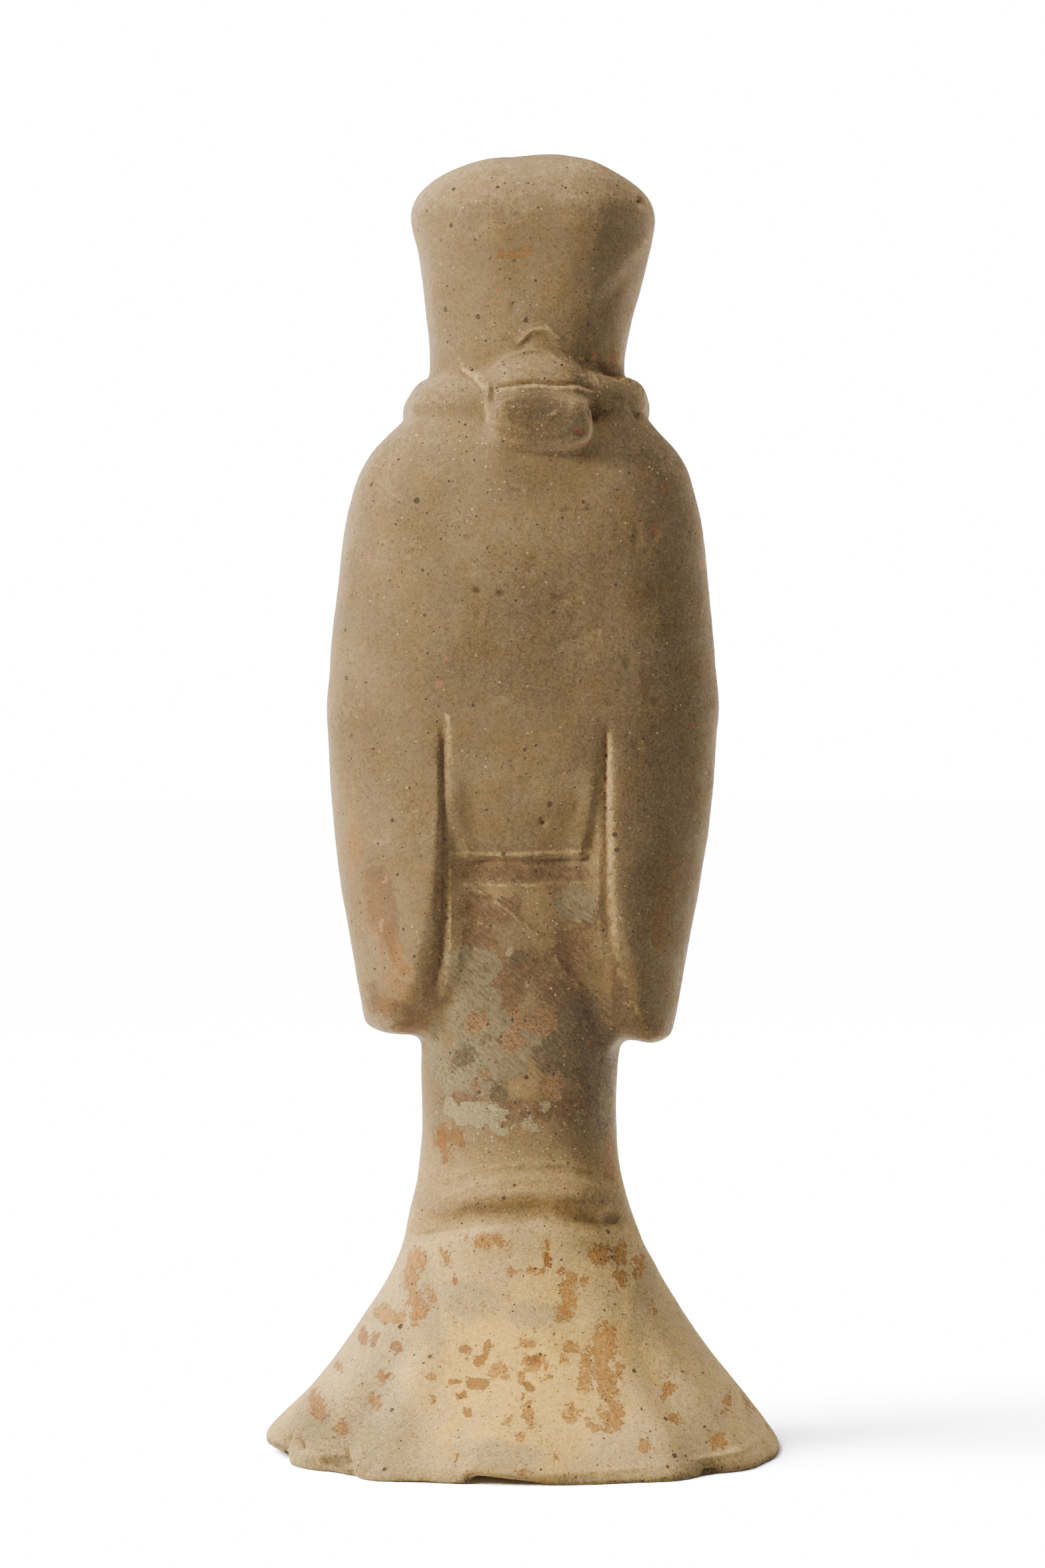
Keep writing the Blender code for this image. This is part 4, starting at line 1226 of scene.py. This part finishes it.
def grit_and_pores(s, clay):
    """Specks, crumbs and pores, with few of them on the face; the pores are painted near black as the shade
    inside them.
    """
    off_face = s.plus(s.times(s.amount("face"), -1.0), 1.0)
    uneven = s.shaken(*DOTS_SHAKEN)
    grit = s.times(gritty_dots(s, GRIT_DOTS, GRIT_GROWTH, uneven), off_face)
    clay = s.blend(clay, SPECK, s.times(grit, GRIT_COVER))
    orange = s.times(gritty_dots(s, ORANGE_DOTS, ORANGE_GROWTH, uneven), off_face)
    clay = s.blend(clay, ORANGE_SPECK, s.times(orange, ORANGE_COVER))
    crumbs = s.times(s.dots(*CRUMB_DOTS, uneven), s.amount("slip"))
    clay = s.blend(clay, RUST_RIM, s.times(crumbs, CRUMB_COVER))
    pores = 0.0
    for dots in PORE_DOTS:
        pores = s.maths("MAXIMUM", pores, s.dots(*dots, uneven))
    pores = s.times(pores, s.plus(s.times(off_face, 1 - PORES_ON_FACE), PORES_ON_FACE))
    # painted shade: the pores darkened to near black
    clay = s.blend(clay, PORE_SHADE, s.times(pores, PORE_SHADE_COVER))
    return clay, s.plus(s.times(grit, GRIT_RISE), s.times(pores, PORE_RISE))


def fired_clay():
    """Grey-brown pottery with pores, a worn pale slip, remains of paint, rust and earth."""
    s = Shader(SLOT)
    wide, middle, fine = s.noise(*WIDE_NOISE), s.noise(*MIDDLE_NOISE), s.noise(*FINE_NOISE)
    grain = s.noise(*GRAIN_NOISE)
    hollow = s.amount("hollow")

    clay = bare_clay(s, wide, middle)
    clay, paint_rise = old_paint(s, clay, fine)
    clay, rust_rise = rust_and_earth(s, clay, fine, hollow)
    clay = worn_and_toned(s, clay, fine, grain, hollow)
    clay, dots_rise = grit_and_pores(s, clay)

    rise = s.plus(s.times(fine, FINE_RISE), s.times(grain, GRAIN_RISE))
    for share in (dots_rise, paint_rise, rust_rise):
        rise = s.plus(rise, share)
    surface = s.surface.inputs
    s.tree.links.new(clay, surface["Base Color"])
    s.tree.links.new(s.plus(s.times(middle, ROUGHNESS_CHANGE), ROUGHNESS), surface["Roughness"])
    surface["Specular IOR Level"].default_value = SHEEN
    s.tree.links.new(s.bump(rise, BUMP_HEIGHT, BUMP_STRENGTH), surface["Normal"])
    return s.material


def camera():
    data = bpy.data.cameras.new("camera")
    data.sensor_width = SENSOR
    data.lens = SENSOR * VIEW_DISTANCE / VIEW_SPAN
    data.dof.use_dof = False
    obj = new_object("camera", data)
    obj.location = (AXIS[0], AXIS[1] + VIEW_DISTANCE, VIEW_HEIGHT)
    obj.rotation_euler = (math.radians(90), 0, math.radians(180))
    bpy.context.scene.camera = obj


FLOOR_RADIUS = 60.0
FLOOR_SIDES = 96
FLOOR_TONE = 0.82
FLOOR_ROUGHNESS = 0.9
FLOOR_SHEEN = 0.1
BACKDROP = 17.0  # brightness of the white behind


def floor():
    """A pale floor that shows shadows and gives the figure no light."""
    work = bmesh.new()
    bmesh.ops.create_circle(work, cap_ends=True, segments=FLOOR_SIDES, radius=FLOOR_RADIUS)
    mesh = bpy.data.meshes.new("floor")
    work.to_mesh(mesh)
    work.free()
    obj = new_object("floor", mesh)
    material = bpy.data.materials.new("pale_floor")
    material.use_nodes = True
    surface = material.node_tree.nodes["Principled BSDF"]
    surface.inputs["Base Color"].default_value = colour(FLOOR_TONE, FLOOR_TONE, FLOOR_TONE)
    surface.inputs["Roughness"].default_value = FLOOR_ROUGHNESS
    surface.inputs["Specular IOR Level"].default_value = FLOOR_SHEEN
    mesh.materials.append(material)
    obj.visible_diffuse = False
    obj.visible_shadow = False
    return obj


def backdrop():
    """A white world that the camera sees and that gives no light of its own."""
    world = bpy.data.worlds.new("studio")
    world.use_nodes = True
    background = world.node_tree.nodes["Background"]
    background.inputs["Color"].default_value = colour(1, 1, 1)
    background.inputs["Strength"].default_value = BACKDROP
    world.cycles_visibility.diffuse = False
    world.cycles_visibility.glossy = False
    bpy.context.scene.world = world


def aimed(obj, place, target):
    """Put a lamp at a place and turn it towards its target."""
    way = np.array(target, float) - np.array(place, float)
    across = math.hypot(way[0], way[1])
    obj.location = place
    obj.rotation_euler = (math.atan2(across, -way[2]), 0, math.atan2(-way[0], way[1]))


# Soft lamps: name, place, size, power, colour.
LAMPS = (
    ("key", (2.0, 1.05, 1.25), 0.5, 94, (1.0, 0.96, 0.835)),
    ("top", (0.08, 0.14, 2.1), 1.3, 34, (1.0, 0.98, 0.95)),
    ("behind_fill", (-0.9, 1.9, 0.4), 1.2, 2.7, (1.0, 0.99, 0.98)),
    ("floor_bounce", (0.3, 0.5, -0.9), 1.2, 2.2, (1.0, 0.98, 0.95)),
    ("front_key", (1.1, -1.6, 1.2), 0.5, 50, (1.0, 0.965, 0.90)),
    ("front_fill", (-1.4, -1.3, 0.6), 1.3, 8, (1.0, 0.98, 0.95)),
)
LAMP_TARGET = (0, 0, 0.27)
# The light that only the floor gets.
FLOOR_SUN = 82.0
FLOOR_SUN_SPREAD = 34  # degrees
FLOOR_SUN_PLACE = (1.3, 0.18, 1.56)


def lights(ground):
    for name, place, size, power, tint in LAMPS:
        data = bpy.data.lights.new(name, "AREA")
        data.shape = "DISK"
        data.size = size
        data.energy = power
        data.color = tint
        aimed(new_object(name, data), place, LAMP_TARGET)
    data = bpy.data.lights.new("floor_light", "SUN")
    data.energy = FLOOR_SUN
    data.angle = math.radians(FLOOR_SUN_SPREAD)
    sun = new_object("floor_light", data)
    aimed(sun, FLOOR_SUN_PLACE, (0, 0, 0))
    lit = bpy.data.collections.new("lit_by_floor_light")
    lit.objects.link(ground)
    sun.light_linking.receiver_collection = lit


camera()
figure = clay_figure()
store(figure.data, wear(figure.data))
figure.data.materials.append(fired_clay())
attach(figure, "root")
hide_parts(NODE)
backdrop()
lights(floor())
